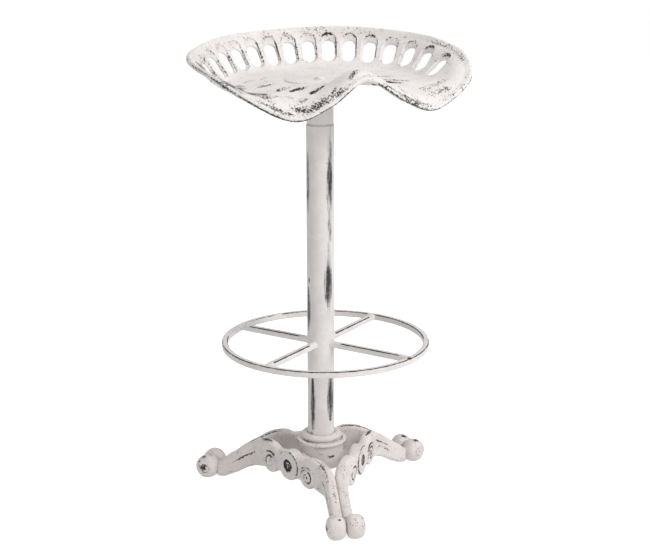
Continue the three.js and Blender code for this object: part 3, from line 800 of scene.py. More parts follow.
def ring_loft(name, rings):
    """A closed skin over rings of points that all have the same count, closed by its ends."""
    rings = [np.asarray(ring, float) for ring in rings]
    middles = [rings[0].mean(0), rings[-1].mean(0)]
    stack = [np.repeat(middles[0][None], len(rings[0]), 0), *rings,
             np.repeat(middles[1][None], len(rings[0]), 0)]
    table = np.array([np.vstack([ring, ring[:1]]) for ring in stack])

    def place(u, v):
        i = np.rint(u * (table.shape[1] - 1)).astype(int)
        j = np.rint(v * (table.shape[0] - 1)).astype(int)
        return table[j, i]

    return formed(name, table.shape[1] - 1, table.shape[0] - 1, place)


def slot_outline(width, low, high, height, steps=12, along=6):
    """A level outline with two round ends, between a low and a high end."""
    r = width / 2
    right = [(r, low + r + (high - low - 2 * r) * k / along) for k in range(along)]
    turns = [math.pi * k / steps for k in range(steps)]
    top = [(r * math.cos(t), high - r + r * math.sin(t)) for t in turns]
    left = [(-x, low + high - y) for x, y in right]
    bottom = [(-x, low + high - y) for x, y in top]
    return [(x, y, height) for x, y in right + top + left + bottom]


def slot_cutter():
    """A slot through the wall with a dish round it that runs further on the side of the edge."""
    sizes = bpy.context.scene.stool_seat
    half = sizes.slot_length / 2
    steps = [  # margin, reach above the slot, height, in millimetres
        (3.3, 13.4, CUT_REACH), (3.3, 13.4, 0.7), (2.7, 12.7, 0.1), (2.3, SLOT_DISH, -0.7),
        (1.3, 6.5, -1.7), (0.6, 1.6, -2.2), (0.15, 0.3, -2.7), (0, 0, -3.4), (0, 0, -CUT_REACH),
    ]
    rings = [
        slot_outline(sizes.slot_width + 2 * m * MM, -half - m * MM, half + r * MM, z * MM)
        for m, r, z in steps
    ]
    return ring_loft("slot_cutter", rings)


def petal_cutter():
    """A pointed oval through the floor, its upper edge softened."""
    sizes = bpy.context.scene.stool_seat
    turns = np.arange(40) / 40 * math.tau
    steps = [(1.6, CUT_REACH), (1.6, 0.5), (1.0, 0.0), (0.3, -0.7), (0, -1.5), (0, -CUT_REACH)]
    rings = []
    for margin, z in steps:
        half_w = sizes.petal_width / 2 + margin * MM
        half_l = sizes.petal_length / 2 + margin * MM
        x = half_w * np.cos(turns) * np.abs(np.cos(turns)) ** 0.25
        rings.append(np.column_stack([x, half_l * np.sin(turns), np.full(len(turns), z * MM)]))
    return ring_loft("petal_cutter", rings)


def on_pan(direction, share):
    """A point of the pan's upper face, for a mark."""
    return tuple(pan_point(direction, share))


PAN_WEAR = [  # from (direction, share), to (direction, share), reach in mm, strength
    ((-6.45, 0.96), (-7.0, 0.78), 22, 0.78),
    ((-6.62, 0.9), (-6.78, 0.84), 9, 1.0),
    ((-6.9, 0.9), (-7.3, 0.84), 15, 0.62),
    ((-6.1, 0.985), (-6.9, 0.985), 9, 0.8),
    ((-4.4, 0.64), (-5.2, 0.66), 15, 0.6),
    ((-7.1, 0.88), (-7.5, 0.93), 9, 0.5),
    ((-7.3, 0.97), (-7.9, 0.97), 8, 0.6),
    ((-7.4, 0.79), (-7.7, 0.76), 12, 0.42),
    ((-7.95, 0.93), (-8.4, 0.96), 13, 0.62),
    ((-8.0, 0.86), (-8.2, 0.83), 11, 0.5),
    ((-8.4, 0.96), (-8.9, 0.95), 14, 0.66),
    ((-8.9, 0.95), (-9.3, 0.96), 12, 0.62),
    ((-9.1, 0.93), (-9.15, 0.89), 9, 0.55),
    ((-9.3, 0.97), (-9.45, 0.99), 7, 0.55),
    ((-9.6, 0.92), (-9.9, 0.84), 9, 0.62),
    ((9.9, 0.84), (9.8, 0.8), 7, 0.4),
    ((9.4, 0.98), (9.0, 0.985), 9, 0.62),
    ((9.0, 0.985), (8.5, 0.985), 13, 0.68),
    ((8.5, 0.985), (8.2, 0.99), 10, 0.5),
    ((8.8, 0.9), (8.4, 0.92), 12, 0.36),
    ((7.7, 0.82), (7.0, 0.85), 13, 0.42),
    ((7.8, 0.9), (7.4, 0.93), 11, 0.38),
    ((4.7, 0.99), (5.3, 0.97), 9, 0.36),
    ((5.2, 0.99), (6.3, 0.99), 8, 0.42),
    ((1.2, 1.0), (2.6, 0.99), 4, 0.4),
    ((-3.0, 0.5), (-2.1, 0.52), 3.2, 0.5),
    ((-3.7, 0.6), (-2.9, 0.55), 3.0, 0.55),
    ((-4.2, 0.52), (-3.6, 0.42), 3.0, 0.5),
    ((1.6, 0.62), (2.6, 0.6), 3.0, 0.4),
    ((-5.6, 0.93), (-6.1, 0.93), 10, 0.42),
    ((-3.2, 0.94), (-4.6, 0.92), 16, 0.3),
    ((3.8, 0.97), (3.85, 0.97), 4, 0.7),
]


def pan_marks():
    """Rubbed places of the pan's upper face."""
    return [(on_pan(*a), on_pan(*b), reach * MM, strength) for a, b, reach, strength in PAN_WEAR]


LIP_WEAR = [  # from, to (directions), strength, reach in mm
    (-9.6, -8.0, 0.95, 2.4), (-8.0, -6.2, 0.85, 2.6), (-6.2, -5.0, 0.55, 2.2), (7.9, 9.7, 0.8, 2.4),
    (5.2, 7.9, 0.5, 2.4), (-3.6, -1.6, 0.62, 1.6), (-1.6, -0.8, 0.5, 1.6), (0.6, 1.6, 0.4, 1.6),
]


def lip_marks():
    """Thin lines on the outside of the rolled edge, where it has been knocked bare."""
    sizes = bpy.context.scene.stool_seat
    marks = []
    for first, last, strength, reach in LIP_WEAR:
        stops = np.linspace(first, last, 13)
        at, up, normal = pan_frame(stops, np.ones(len(stops)))
        line = at + up * sizes.edge / 2 * 0.9 - normal * sizes.wall / 2
        marks += [(a, b, reach * MM, strength) for a, b in zip(line, line[1:])]
    return marks


SLOT_WEAR = {  # side, slot: wear down the clockwise side, round the top
    (1, 0): (0.62, 0.0), (1, 1): (0.58, 0.0), (1, 2): (0.95, 0.8), (1, 3): (0.95, 0.62), (1, 4): (0.9, 0.5),
    (1, 5): (0.8, 0.45), (1, 6): (0.8, 0.4), (1, 7): (0.5, 0.6), (1, 8): (0.5, 0.7),
    (-1, 0): (0.85, 0.1), (-1, 1): (0.85, 0.1), (-1, 2): (0.6, 0.1), (-1, 3): (0.62, 0.15),
    (-1, 4): (0.6, 0.35), (-1, 5): (0.55, 0.4), (-1, 6): (0.5, 0.3), (-1, 7): (0.45, 0.2),
    (-1, 8): (0.3, 0.1),
}
# Painted shade: how dark each petal's walls are made, standing in for the shade inside the opening.
PETAL_SHADE = (0.6, 0.7, 1.0, 1.0)


def slot_marks(lay, down, top):
    """Dark lines down the clockwise side of a slot, inside it, and round the top of its dish."""
    sizes = bpy.context.scene.stool_seat
    half, side_x = sizes.slot_length / 2, sizes.slot_width / 2 + 1.6 * MM
    line = [lay @ Vector((side_x, half * y, -0.7 * MM)) for y in (1.15, 0.7, 0.2, -0.3, -0.7)]
    marks = brushed(line, 2.6 * MM, down)
    inner = [lay @ Vector((sizes.slot_width / 2, half * y, -3.0 * MM)) for y in (0.5, 0, -0.6)]
    marks += [(a, b, 2.6 * MM, down * 0.5) for a, b in zip(inner, inner[1:])]
    centre = half + SLOT_DISH * MM - side_x
    turns = np.radians((20, 50, 80, 110, 140))
    arc = [lay @ Vector((side_x * math.cos(t), centre + side_x * math.sin(t), -0.4 * MM)) for t in turns]
    return marks + brushed(arc, 1.9 * MM, top)


def petal_shade_marks(lay, strength):
    """Painted shade: dark walls on both sides of a petal, standing in for the shade inside the opening."""
    sizes = bpy.context.scene.stool_seat
    marks = []
    for across in (-1, 1):
        line = []
        for y in (-0.8, -0.4, 0, 0.4, 0.8):
            x = across * sizes.petal_width / 2 * (1 - y * y) ** 0.6
            line.append(lay @ Vector((x, y * sizes.petal_length / 2, -3.4 * MM)))
        marks += [(a, b, 4.6 * MM, strength) for a, b in zip(line, line[1:])]
    return marks


def opening_wear_and_shade_marks():
    """Dark edges of the slots, and painted shade on the walls of the petals."""
    marks = []
    for side in (1, -1):
        for k, (direction, share, lean) in enumerate(slot_places()):
            down, top = SLOT_WEAR.get((side, k), (0.6, 0.4))
            marks += slot_marks(laid_on_pan(side * direction, share, side * lean), down, top)
        # The petals' walls get painted shade, standing in for the shade inside them.
        for (direction, share, turn), strength in zip(PETALS, PETAL_SHADE):
            marks += petal_shade_marks(laid_on_pan(side * direction, share, side * turn), strength)
    return marks


PAN_COLUMNS = 400


def pan_shell():
    """The bare casting: upper face, rolled edge and lower face in one skin."""
    sizes = bpy.context.scene.stool_seat
    shares = [*np.linspace(0.012, 0.2, 5), *np.linspace(0.23, 0.975, 62)]
    bead = sizes.edge / 2
    profile = [(0, 0, 0)] + [(s, 0, 0) for s in shares]
    for k in range(13):
        turn = math.pi * (0.5 - k / 12)
        profile.append((1, bead * math.sin(turn) - sizes.wall / 2, bead * math.cos(turn)))
    profile += [(s, -sizes.wall, 0) for s in reversed(shares)] + [(0, -sizes.wall, 0)]
    profile = np.array(profile)

    def place(u, v):
        share, out, beyond = profile[np.rint(v * (len(profile) - 1)).astype(int)].T
        at, up, normal = pan_frame(u * ALL_ROWS, share)
        middle = share == 0
        at = at + normal * out[:, None] + up * beyond[:, None]
        none = np.zeros(middle.sum())
        at[middle] = np.column_stack([none, none, sizes.floor + out[middle]])
        return at

    return formed("seat_shell", PAN_COLUMNS, len(profile) - 1, place)


class STOOL_OT_seat_pan(bpy.types.Operator):
    """Cast pan with its rolled edge, dished rim slots, petals and raised round"""

    bl_idname = "stool.seat_pan"
    bl_label = "Seat pan"

    def execute(self, context):
        sizes = context.scene.stool_seat
        pan = pan_shell()
        low = sizes.floor - sizes.wall
        for name, radius, start, end, corner in (
            ("disc", sizes.disc_radius, low + MM, sizes.floor + sizes.disc_rise, sizes.disc_rise),
            ("pad", sizes.pad_radius, low + MM, low - sizes.pad_depth, MM),
        ):
            line = rounded([(0, start), (radius, start), (radius, end), (0, end)], [0, corner], 4)
            with_solid(pan, turned(name, line), "UNION")
        cutters = []
        slot, petal = slot_cutter(), petal_cutter()
        for side in (1, -1):
            for direction, share, lean in slot_places():
                cutters.append(copied(slot, "slot", laid_on_pan(side * direction, share, side * lean)))
            for direction, share, turn in PETALS:
                cutters.append(copied(petal, "petal", laid_on_pan(side * direction, share, side * turn)))
        for piece in (slot, petal):
            bpy.data.objects.remove(piece)
        with_solid(pan, united(cutters), "DIFFERENCE")
        tidy_mesh(pan, 1e-5)
        smoothed(pan, 38)
        # Among these marks, the petals' marks paint shade on their walls.
        weather(pan, pan_marks() + lip_marks() + opening_wear_and_shade_marks(), edge_gain=3.2)
        finish_piece(pan, "white_casting", "distressed_paint", "seat", "seat_pan")
        return {"FINISHED"}


# Column and sleeve

TUBE_WALL = 2 * MM
TUBE_EDGE = 0.4 * MM
SLEEVE_WALL = 3 * MM
SLEEVE_EDGE = 0.3 * MM
SLEEVE_END = 5 * MM  # the closed end that holds the spindle
SPINDLE_HOLE = 10.3 * MM

COLUMN_WEAR = [  # direction, low, high, reach in mm, strength
    (17, 0.500, 0.566, 9.0, 0.95), (16.5, 0.43, 0.615, 11.0, 0.5),
    (8, 0.322, 0.392, 12.0, 1.0), (9, 0.312, 0.425, 10.0, 0.6),
    (-82, 0.360, 0.368, 3.6, 1.0),
    (-88, 0.47, 0.57, 8.0, 0.55), (-88, 0.280, 0.350, 8.0, 0.85),
    (-63, 0.112, 0.204, 7.0, 1.0), (18, 0.128, 0.204, 11.0, 0.95),
    (118, 0.30, 0.42, 6.0, 1.0), (160, 0.45, 0.56, 5.0, 0.9),
    (200, 0.12, 0.2, 6.0, 1.0), (235, 0.34, 0.46, 6.0, 0.9),
]


def column_marks(radius):
    """Soft upright streaks, and a nick just above the hub."""
    marks = []
    for direction, low, high, reach, strength in COLUMN_WEAR:
        stops = np.linspace(low, high, 12)
        marks += brushed([on_round(direction, radius, z) for z in stops], reach * MM, strength, 0.5)
    nick = 0.1035
    marks.append((on_round(-84, radius, nick), on_round(-66, radius, nick), 2.4 * MM, 0.9))
    return marks


class STOOL_OT_column(bpy.types.Operator):
    """Column tube and the seat's sleeve over it"""

    bl_idname = "stool.column"
    bl_label = "Column and sleeve"

    def execute(self, context):
        radius = node_radius("column_tube")
        low, high = node_bottom("column_tube"), node_top("column_tube")
        bore = radius - TUBE_WALL
        corners = [(bore, low), (radius, low), (radius, high), (bore, high), (bore, low)]
        line = rounded(corners, [0, TUBE_EDGE, TUBE_EDGE], 3)
        column = turned("column", spaced(line, 0.0032), 96)
        smoothed(column, 50)
        weather(column, column_marks(radius), edge_gain=0.15, rounds=1)
        finish_piece(column, "white_tube", "distressed_paint", "base", "column_tube")

        radius = node_radius("seat_sleeve")
        low, high = node_bottom("seat_sleeve"), node_top("seat_sleeve")
        bore, end = radius - SLEEVE_WALL, high - SLEEVE_END
        corners = [(bore, low), (radius, low), (radius, high), (SPINDLE_HOLE, high), (SPINDLE_HOLE, end),
                   (bore, end), (bore, low)]
        line = rounded(corners, [0, SLEEVE_EDGE, 0, 0, 0, 0], 3)
        sleeve = turned("sleeve", spaced(line, 0.003), 96)
        smoothed(sleeve, 50)
        weather(sleeve, edge_gain=0.0, rounds=1)
        finish_piece(sleeve, "white_tube", "distressed_paint", "seat", "seat_sleeve")
        return {"FINISHED"}


# Footrest

BAR_CORNER = 1.8 * MM
BAR_IN = 3 * MM  # how far a spoke's end runs into the column
BAR_OUT = 1.5 * MM  # and past the solid's end, into the ring
COLUMN_WELD = 12 * MM  # how far a spoke flares out along its weld
RING_WELD = 10 * MM
WELD_CURVE = 2.2
SPOKE_WORN_EDGE = (-1, -1, 1, 1)  # which edge of each spoke is worn more

RING_WEAR = [  # from, to (degrees), inset from the outer edge in mm, strength
    (-100, -60, 0.5, 0.85), (-60, 20, 0.5, 1.0), (20, 62, 0.5, 0.85), (-118, -100, 0.5, 0.7),
    (64, 122, 9.3, 1.0), (126, 182, 9.3, 0.85), (184, 206, 9.3, 0.7), (206, 236, 9.3, 0.45),
    (238, 256, 9.3, 0.9), (-50, 10, 9.4, 0.45), (200, 240, 0.6, 0.6),
]


def bar_section(half, corner, steps=4, along=3):
    """Rounded square outline, anticlockwise, with the same count of points for every size."""
    r = min(corner, half)
    outline = []
    for quarter in range(4):
        turn = math.pi / 2 * quarter
        centre = (half - r) * math.sqrt(2)
        cx, cy = centre * math.cos(turn + math.pi / 4), centre * math.sin(turn + math.pi / 4)
        for k in range(steps + 1):
            a = turn + math.pi / 2 * k / steps
            outline.append((cx + r * math.cos(a), cy + r * math.sin(a)))
        straight = 2 * (half - r)
        a = turn + math.pi / 2
        x, y = outline[-1]
        for k in range(1, along):
            way = straight * k / along
            outline.append((x - math.sin(a) * way, y + math.cos(a) * way))
    return np.array(outline)


def ring_marks(centre, radius, top):
    """Lines along the ring's upper edges, and one spot knocked bare."""
    middle = (*centre, 0)
    marks = []
    for first, last, inset, strength in RING_WEAR:
        stops = np.linspace(first, last, max(2, int(abs(last - first) / 5) + 1))
        line = [np.add(on_round(t, radius - inset * MM, top), middle) for t in stops]
        marks += [(a, b, 2.3 * MM, strength) for a, b in zip(line, line[1:])]
    spot = np.add(on_round(25, radius - 3 * MM, top), middle)
    marks.append((spot, spot + np.array([4, 3, -3]) * MM, 7 * MM, 1.0))
    return marks


def spoke(name, way, reach, level, bar):
    """A square bar along a level direction that swells into its weld at both ends."""
    column = node_radius("column_tube")
    side = np.array([-way[1], way[0]])
    near = np.linspace(column - BAR_IN, column + COLUMN_WELD + 2 * MM, 14)
    far = np.linspace(reach - RING_WELD - 2 * MM, reach, 10)
    stops = np.concatenate([near, np.linspace(near[-1] + 3 * MM, far[0] - 3 * MM, 34), far])
    rings = []
    for s in stops:
        inner = max(0.0, 1 - (s - column) / COLUMN_WELD)
        outer = max(0.0, 1 - (reach - s) / RING_WELD)
        swell = min(inner, 1.0) ** WELD_CURVE
        outline = bar_section(bar / 2, BAR_CORNER + 3 * MM * min(1, inner + outer))
        across = outline[:, 0] * (1 + 0.55 * swell) * (1 + 0.45 * outer**WELD_CURVE)
        upright = np.clip(outline[:, 1] * (1 + 0.35 * swell), -bar / 2 - 2 * MM, bar / 2 + 1.2 * MM)
        rings.append(np.column_stack([
            way[0] * s + side[0] * across, way[1] * s + side[1] * across, level + upright,
        ]))
    return ring_loft(name, rings)


def spoke_marks(way, reach, top, bar, worn_edge):
    """A line along each upper edge, stronger on the worn one."""
    edge = np.array([-way[1], way[0]]) * (bar / 2 - 0.6 * MM)
    height = top - 0.3 * MM
    marks = []
    for sign in (1, -1):
        near = way * (node_radius("column_tube") + 18 * MM) + edge * sign
        far = way * (reach - 16 * MM) + edge * sign
        strength = 1.0 if sign == worn_edge else 0.5
        marks.append(((*near, height), (*far, height), 2.2 * MM, strength))
    return marks


class STOOL_OT_footrest(bpy.types.Operator):
    """Footrest ring and its four welded spokes"""

    bl_idname = "stool.footrest"
    bl_label = "Footrest"

    def execute(self, context):
        bar = context.scene.stool_base.ring_bar
        low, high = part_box("footrest_ring")
        centre = ((low.x + high.x) / 2, (low.y + high.y) / 2)
        radius, top = (high.x - low.x) / 2, high.z
        level = top - bar / 2
        section = bar_section(bar / 2, BAR_CORNER, along=6) + np.array([radius - bar / 2, level])
        ring = turned("footrest_hoop", np.vstack([section, section[:1]]), 288, centre)
        smoothed(ring, 50)
        weather(ring, ring_marks(centre, radius, top), edge_gain=1.9, rounds=1)
        finish_piece(ring, "white_weldment", "distressed_paint", "base", "footrest_ring")

        for number, worn_edge in enumerate(SPOKE_WORN_EDGE, 1):
            node = f"footrest_spoke_{number}"
            at = points_of(NODES[node])
            way = at.mean(0)[:2]
            way /= np.linalg.norm(way)
            reach = (at[:, :2] @ way).max() + BAR_OUT
            piece = spoke(f"footrest_bar_{number}", way, reach, level, bar)
            smoothed(piece, 50)
            weather(piece, spoke_marks(way, reach, top, bar, worn_edge), edge_gain=1.6, rounds=1)
            finish_piece(piece, "white_weldment", "distressed_paint", "base", node)
        return {"FINISHED"}


# Base

PANELS = 3
BASE_TURN = -15.6  # degrees that the base is turned from the seat


def panel_turn(index):
    """Degrees that a panel is turned from the front."""
    return BASE_TURN + 360 / PANELS * (index + 0.5)


def facing_front(piece, height):
    """Lays a piece that stands along +Z towards the front, its axis at a height."""
    piece.data.transform(Matrix.Translation((0, 0, height)) @ Matrix.Rotation(math.pi / 2, 4, "X"))
    return piece


SOCKET_GAP = 0.4 * MM  # round the column's foot
SOCKET_FLOOR = 69.7 * MM
TIE_HOLE = 6.3 * MM
FLANGE_OUT = 5 * MM  # flange past the drum
BOSS_ROOT = 8 * MM  # boss into the drum
TOUCH_GAP = 0.3 * MM


def hub_marks(sizes, flange_high):
    """Dirt and wear round the bead, the flange and the drum."""
    bead, drum = sizes.bead_centre + sizes.bead_radius, sizes.drum_radius
    rim, low, high = drum + FLANGE_OUT, sizes.flange_low, flange_high
    worn = [  # from, to (degrees), radius, height, reach in mm, strength
        (-100, -62, bead, high, 2.4, 0.95), (-62, -30, bead + MM, high, 2.2, 0.8),
        (-30, 30, bead, high, 1.8, 0.55), (34, 70, bead + 2 * MM, high, 2.4, 0.9),
        (-46, -6, rim - MM, low, 2.4, 0.95), (-110, -80, rim, high - 2 * MM, 2.6, 0.8),
        (10, 50, rim - MM, low, 2.2, 0.7), (90, 200, bead, high, 2.2, 0.8),
        (-6, 6, drum, low - 18 * MM, 4.5, 0.75), (-30, -24, drum, low - 12 * MM, 4, 0.5),
    ]
    marks = []
    for first, last, radius, height, reach, strength in worn:
        stops = np.linspace(first, last, max(2, int((last - first) / 8) + 1))
        marks += brushed([on_round(t, radius, height) for t in stops], reach * MM, strength)
    return marks


class STOOL_OT_hub(bpy.types.Operator):
    """Cast hub: drum, flange and bead round the column, with a boss for each panel"""

    bl_idname = "stool.hub"
    bl_label = "Hub"

    def execute(self, context):
        sizes = context.scene.stool_base
        low = node_bottom("base_hub")
        socket = node_radius("column_tube") + SOCKET_GAP
        flange_high = sizes.flange_low + sizes.flange_thick
        drum, flange = sizes.drum_radius, sizes.drum_radius + FLANGE_OUT
        radius = sizes.bead_radius
        bead_middle = flange_high + radius
        bead = [(sizes.bead_centre + radius * math.cos(t), bead_middle + radius * math.sin(t))
                for t in np.linspace(-math.pi / 2, math.pi / 2 + 0.5, 16)]
        lower = rounded([(TIE_HOLE, low), (drum, low), (drum, sizes.flange_low), (flange, sizes.flange_low),
                         (flange, flange_high), (sizes.bead_centre, flange_high)],
                        [2.5 * MM, 1.2 * MM, 2.2 * MM, 2.2 * MM], 6)
        inside = [(socket, bead_middle + radius * 0.6), (socket, SOCKET_FLOOR), (TIE_HOLE, SOCKET_FLOOR),
                  (TIE_HOLE, low)]
        hub = turned("hub", spaced(np.vstack([lower[:-1], bead, inside]), 0.0022), 128)
        root, end = drum - BOSS_ROOT, sizes.panel_face - sizes.panel_thick - TOUCH_GAP
        for index in range(PANELS):
            corners = [(0, root), (sizes.boss_radius, root), (sizes.boss_radius, end), (0, end)]
            boss = turned("boss", rounded(corners, [0, MM], 4), 48)
            facing_front(boss, sizes.rosette_height)
            boss.data.transform(turn_z(panel_turn(index)))
            with_solid(hub, boss, "UNION")
        tidy_mesh(hub, 1e-5)
        smoothed(hub, 40)
        weather(hub, hub_marks(sizes, flange_high), edge_gain=2.0)
        finish_piece(hub, "white_base", "distressed_paint", "base", "base_hub")
        return {"FINISHED"}


OUTLINE = np.array([  # shares: of the leg's length, then top and underside of the shoulder's height
    (0, 0.965, 0.44), (0.11, 0.93, 0.465), (0.18, 0.918, 0.475), (0.25, 0.985, 0.42), (0.33, 1, 0.43),
    (0.4, 0.98, 0.4), (0.47, 0.925, 0.368), (0.54, 0.847, 0.335), (0.61, 0.76, 0.275), (0.69, 0.64, 0.175),
    (0.77, 0.505, 0.1), (0.83, 0.424, 0.04), (0.87, 0.35, 0.025), (0.95, 0.28, 0.09),
])
PANEL_END = float(OUTLINE[-1, 0])
PANEL_STEPS = 190
EDGE_ROUND = 0.36  # rounding of a panel's edges, as a share of its thickness
EDGE_ROUND_MOST = 0.45  # and at most this share of its height
SPLAY = math.radians(30)
LEG_BEND = 30 * MM


class Panel:
    """A leg panel's middle line: straight across the front, then splayed to the rolls."""

    def __init__(self, sizes):
        self.thick = sizes.panel_thick
        self.middle = sizes.panel_face - sizes.panel_thick / 2
        aside = (sizes.panel_thick + TOUCH_GAP) / 2
        corner = (self.middle * math.cos(SPLAY) - aside) / math.sin(SPLAY)
        self.bend_start = corner - LEG_BEND * math.tan(SPLAY / 2)
        reach = corner * math.cos(SPLAY) + self.middle * math.sin(SPLAY)
        self.length = (self.bend_start + LEG_BEND * SPLAY + sizes.foot_reach - reach
                       - LEG_BEND * math.tan(SPLAY / 2))

    def point(self, along, outward, z):
        """The way along the middle line, out from it, and up."""
        way = np.abs(along)
        turn = np.clip((way - self.bend_start) / LEG_BEND, 0, SPLAY)
        straight = np.maximum(way - self.bend_start - LEG_BEND * SPLAY, 0)
        before = np.minimum(way, self.bend_start)
        x = before + LEG_BEND * np.sin(turn) + straight * np.cos(turn) - outward * np.sin(turn)
        y = LEG_BEND * (1 - np.cos(turn)) + straight * np.sin(turn) + outward * np.cos(turn)
        return np.stack([np.sign(along) * x, -(self.middle + y), z], -1)


def panel_body(sizes):
    """A panel without its lobes, rosette and rolls, drawn out along its middle line."""
    line = Panel(sizes)
    ways = np.concatenate([-OUTLINE[:0:-1, 0], OUTLINE[:, 0]])
    highs = np.concatenate([OUTLINE[:0:-1, 1], OUTLINE[:, 1]])
    lows = np.concatenate([OUTLINE[:0:-1, 2], OUTLINE[:, 2]])
    rings = []
    for way in np.linspace(-PANEL_END, PANEL_END, PANEL_STEPS):
        high = eased(way, ways, highs) * sizes.shoulder
        low = eased(way, ways, lows) * sizes.shoulder
        round_r = min(EDGE_ROUND * line.thick, EDGE_ROUND_MOST * (high - low))
        half = line.thick / 2
        outline = []
        for quarter, (sx, top) in enumerate(((1, True), (1, False), (-1, False), (-1, True))):
            centre_x = sx * (half - round_r)
            centre_z = high - round_r if top else low + round_r
            for k in range(6):
                turn = math.pi / 2 - (quarter + k / 5) * math.pi / 2
                outline.append((centre_x + round_r * math.cos(turn), centre_z + round_r * math.sin(turn)))
            if quarter in (0, 2):  # the flat faces get points of their own
                x, z = outline[-1]
                other = low + round_r if quarter == 0 else high - round_r
                outline += [(x, z + (other - z) * k / 10) for k in range(1, 10)]
        outline = np.array(outline)
        along = np.full(len(outline), way * line.length)
        rings.append(line.point(along, outline[:, 0], outline[:, 1]))
    return ring_loft("panel", rings)


ROLL_SWELL = 1.08  # a bulged roll's width, as a share of the flat-sided solid's
ROLL_CURVE = 2 / 2.7
ROLL_SINK = 0.6 * MM  # flat that a roll stands on
ROLL_EYE = [(0, -2.2), (1.7, -1.6), (3.0, 0.2), (5.2, 0.2), (6.4, -1.2), (7.6, -1.4)]  # radius, height; mm
ROLL_EYE_RADIUS = 8.8 * MM


def foot_roll(sizes, side):
    """A roll like a ball with flattened sides, each with a dimpled eye."""
    half, r = sizes.roll_width / 2 * ROLL_SWELL, sizes.roll_radius
    turns = np.linspace(0, math.pi / 2, 22)
    ball = [(r * math.sin(t) ** ROLL_CURVE, half * math.cos(t) ** ROLL_CURVE) for t in turns]
    eye = [(x * MM, half + y * MM) for x, y in ROLL_EYE]
    outer = [p for p in ball if p[0] > ROLL_EYE_RADIUS]
    inner = [(x, -y) for x, y in reversed(ball)]
    profile = np.array(eye + outer + inner[1:])
    profile[-1] = (0, -half)
    roll = turned("roll", spaced(profile, 0.0018), 64)
    roll.data.transform(Matrix.Rotation(-side * math.pi / 2, 4, "Y"))
    place = (-side * (half + TOUCH_GAP / 2), -sizes.foot_reach, r - ROLL_SINK)
    roll.data.transform(Matrix.Translation(place))
    roll.data.transform(turn_z(side * 180 / PANELS))
    return roll


SCROLL_OUT = 15.5 * MM
SCROLL_IN = 4.5 * MM
SCROLL_TURNS = 1.35
SCROLL_START = 20  # degrees past level at which a scroll's line starts
SCROLL_WIDTH = 3.2 * MM
SCROLL_STEPS = 90


def scroll_line(centre, face, side):
    """The spiral line of a lobe, from its rim to its eye."""
    share = np.linspace(0, 1, SCROLL_STEPS)
    radius = SCROLL_OUT + (SCROLL_IN - SCROLL_OUT) * share**0.8
    start = 180 + SCROLL_START if side > 0 else -SCROLL_START
    turn = math.radians(start) - side * SCROLL_TURNS * math.tau * share
    return np.column_stack([centre[0] + radius * np.cos(turn), np.full(len(share), -face),
                            centre[1] + radius * np.sin(turn)])


def scroll_groove(centre, face, side):
    """A spiral bar that cuts a groove in a face towards the front."""
    path = scroll_line(centre, face, side)
    share = np.linspace(0, 1, len(path))
    ends = np.clip(np.minimum(share, 1 - share) * 14, 0, 1) ** 0.5
    return swept("scroll", path, SCROLL_WIDTH / 2 * ends, 10)


LOBE_PROUD = 1.5 * MM
ROSETTE_PROUD = 2 * MM
POCKET_DEPTH = 7 * MM
POCKET_RADIUS = 8.4 * MM
POCKET_MOUTH = 9.4 * MM
BOLT_HOLE = 5.3 * MM
LOBE_EYE = 1.6 * MM


def faced(name, line, height, steps, aside=0.0):
    """A turned form laid towards the front at a height, moved aside."""
    piece = facing_front(turned(name, line, steps), height)
    if aside:
        piece.data.transform(Matrix.Translation((aside, 0, 0)))
    return piece


def leg_panel(sizes):
    """One panel, facing the front."""
    back = sizes.panel_face - sizes.panel_thick
    lobe_face, face = sizes.panel_face + LOBE_PROUD, sizes.panel_face + ROSETTE_PROUD
    lobe_aside = sizes.lobe_spacing / 2
    panel = panel_body(sizes)

    def disc(radius, front, corners):
        line = rounded([(0, back), (radius, back), (radius, front), (0, front)], corners, 6)
        return spaced(line, 0.002)

    for side in (1, -1):
        line = disc(sizes.lobe_radius, lobe_face, [3 * MM, 4 * MM])
        with_solid(panel, faced("lobe", line, sizes.lobe_height, 72, side * lobe_aside), "UNION")
    line = disc(sizes.rosette_radius, face, [2 * MM, 2.8 * MM])
    with_solid(panel, faced("rosette", line, sizes.rosette_height, 96), "UNION")
    for side in (1, -1):
        with_solid(panel, foot_roll(sizes, side), "UNION")
    over, floor = 2 * MM, face - POCKET_DEPTH
    corners = [(0, back - over), (BOLT_HOLE, back - over), (BOLT_HOLE, floor), (POCKET_RADIUS, floor),
               (POCKET_RADIUS, face - 0.4 * MM), (POCKET_MOUTH, face + over), (0, face + over)]
    cutters = [faced("pocket", rounded(corners, [0, 0, 0, 0, 0], 2), sizes.rosette_height, 48)]
    for side in (1, -1):
        cutters.append(scroll_groove((side * lobe_aside, sizes.lobe_height), lobe_face, side))
        low, high = lobe_face - LOBE_EYE, lobe_face + over
        eye = [(0, low), (LOBE_EYE, low), (LOBE_EYE + 0.4 * MM, high), (0, high)]
        cutters.append(faced("eye", rounded(eye, [0, 0], 1), sizes.lobe_height, 16, side * lobe_aside))
    with_solid(panel, united(cutters), "DIFFERENCE")
    wide = 2 * (sizes.foot_reach + sizes.roll_radius)
    deep = 20 * MM
    ground = primitive("cube", "ground", size=1, location=(0, 0, -deep / 2), scale=(wide, wide, deep))
    with_solid(panel, ground, "DIFFERENCE")
    tidy_mesh(panel, 1e-5)
    return panel


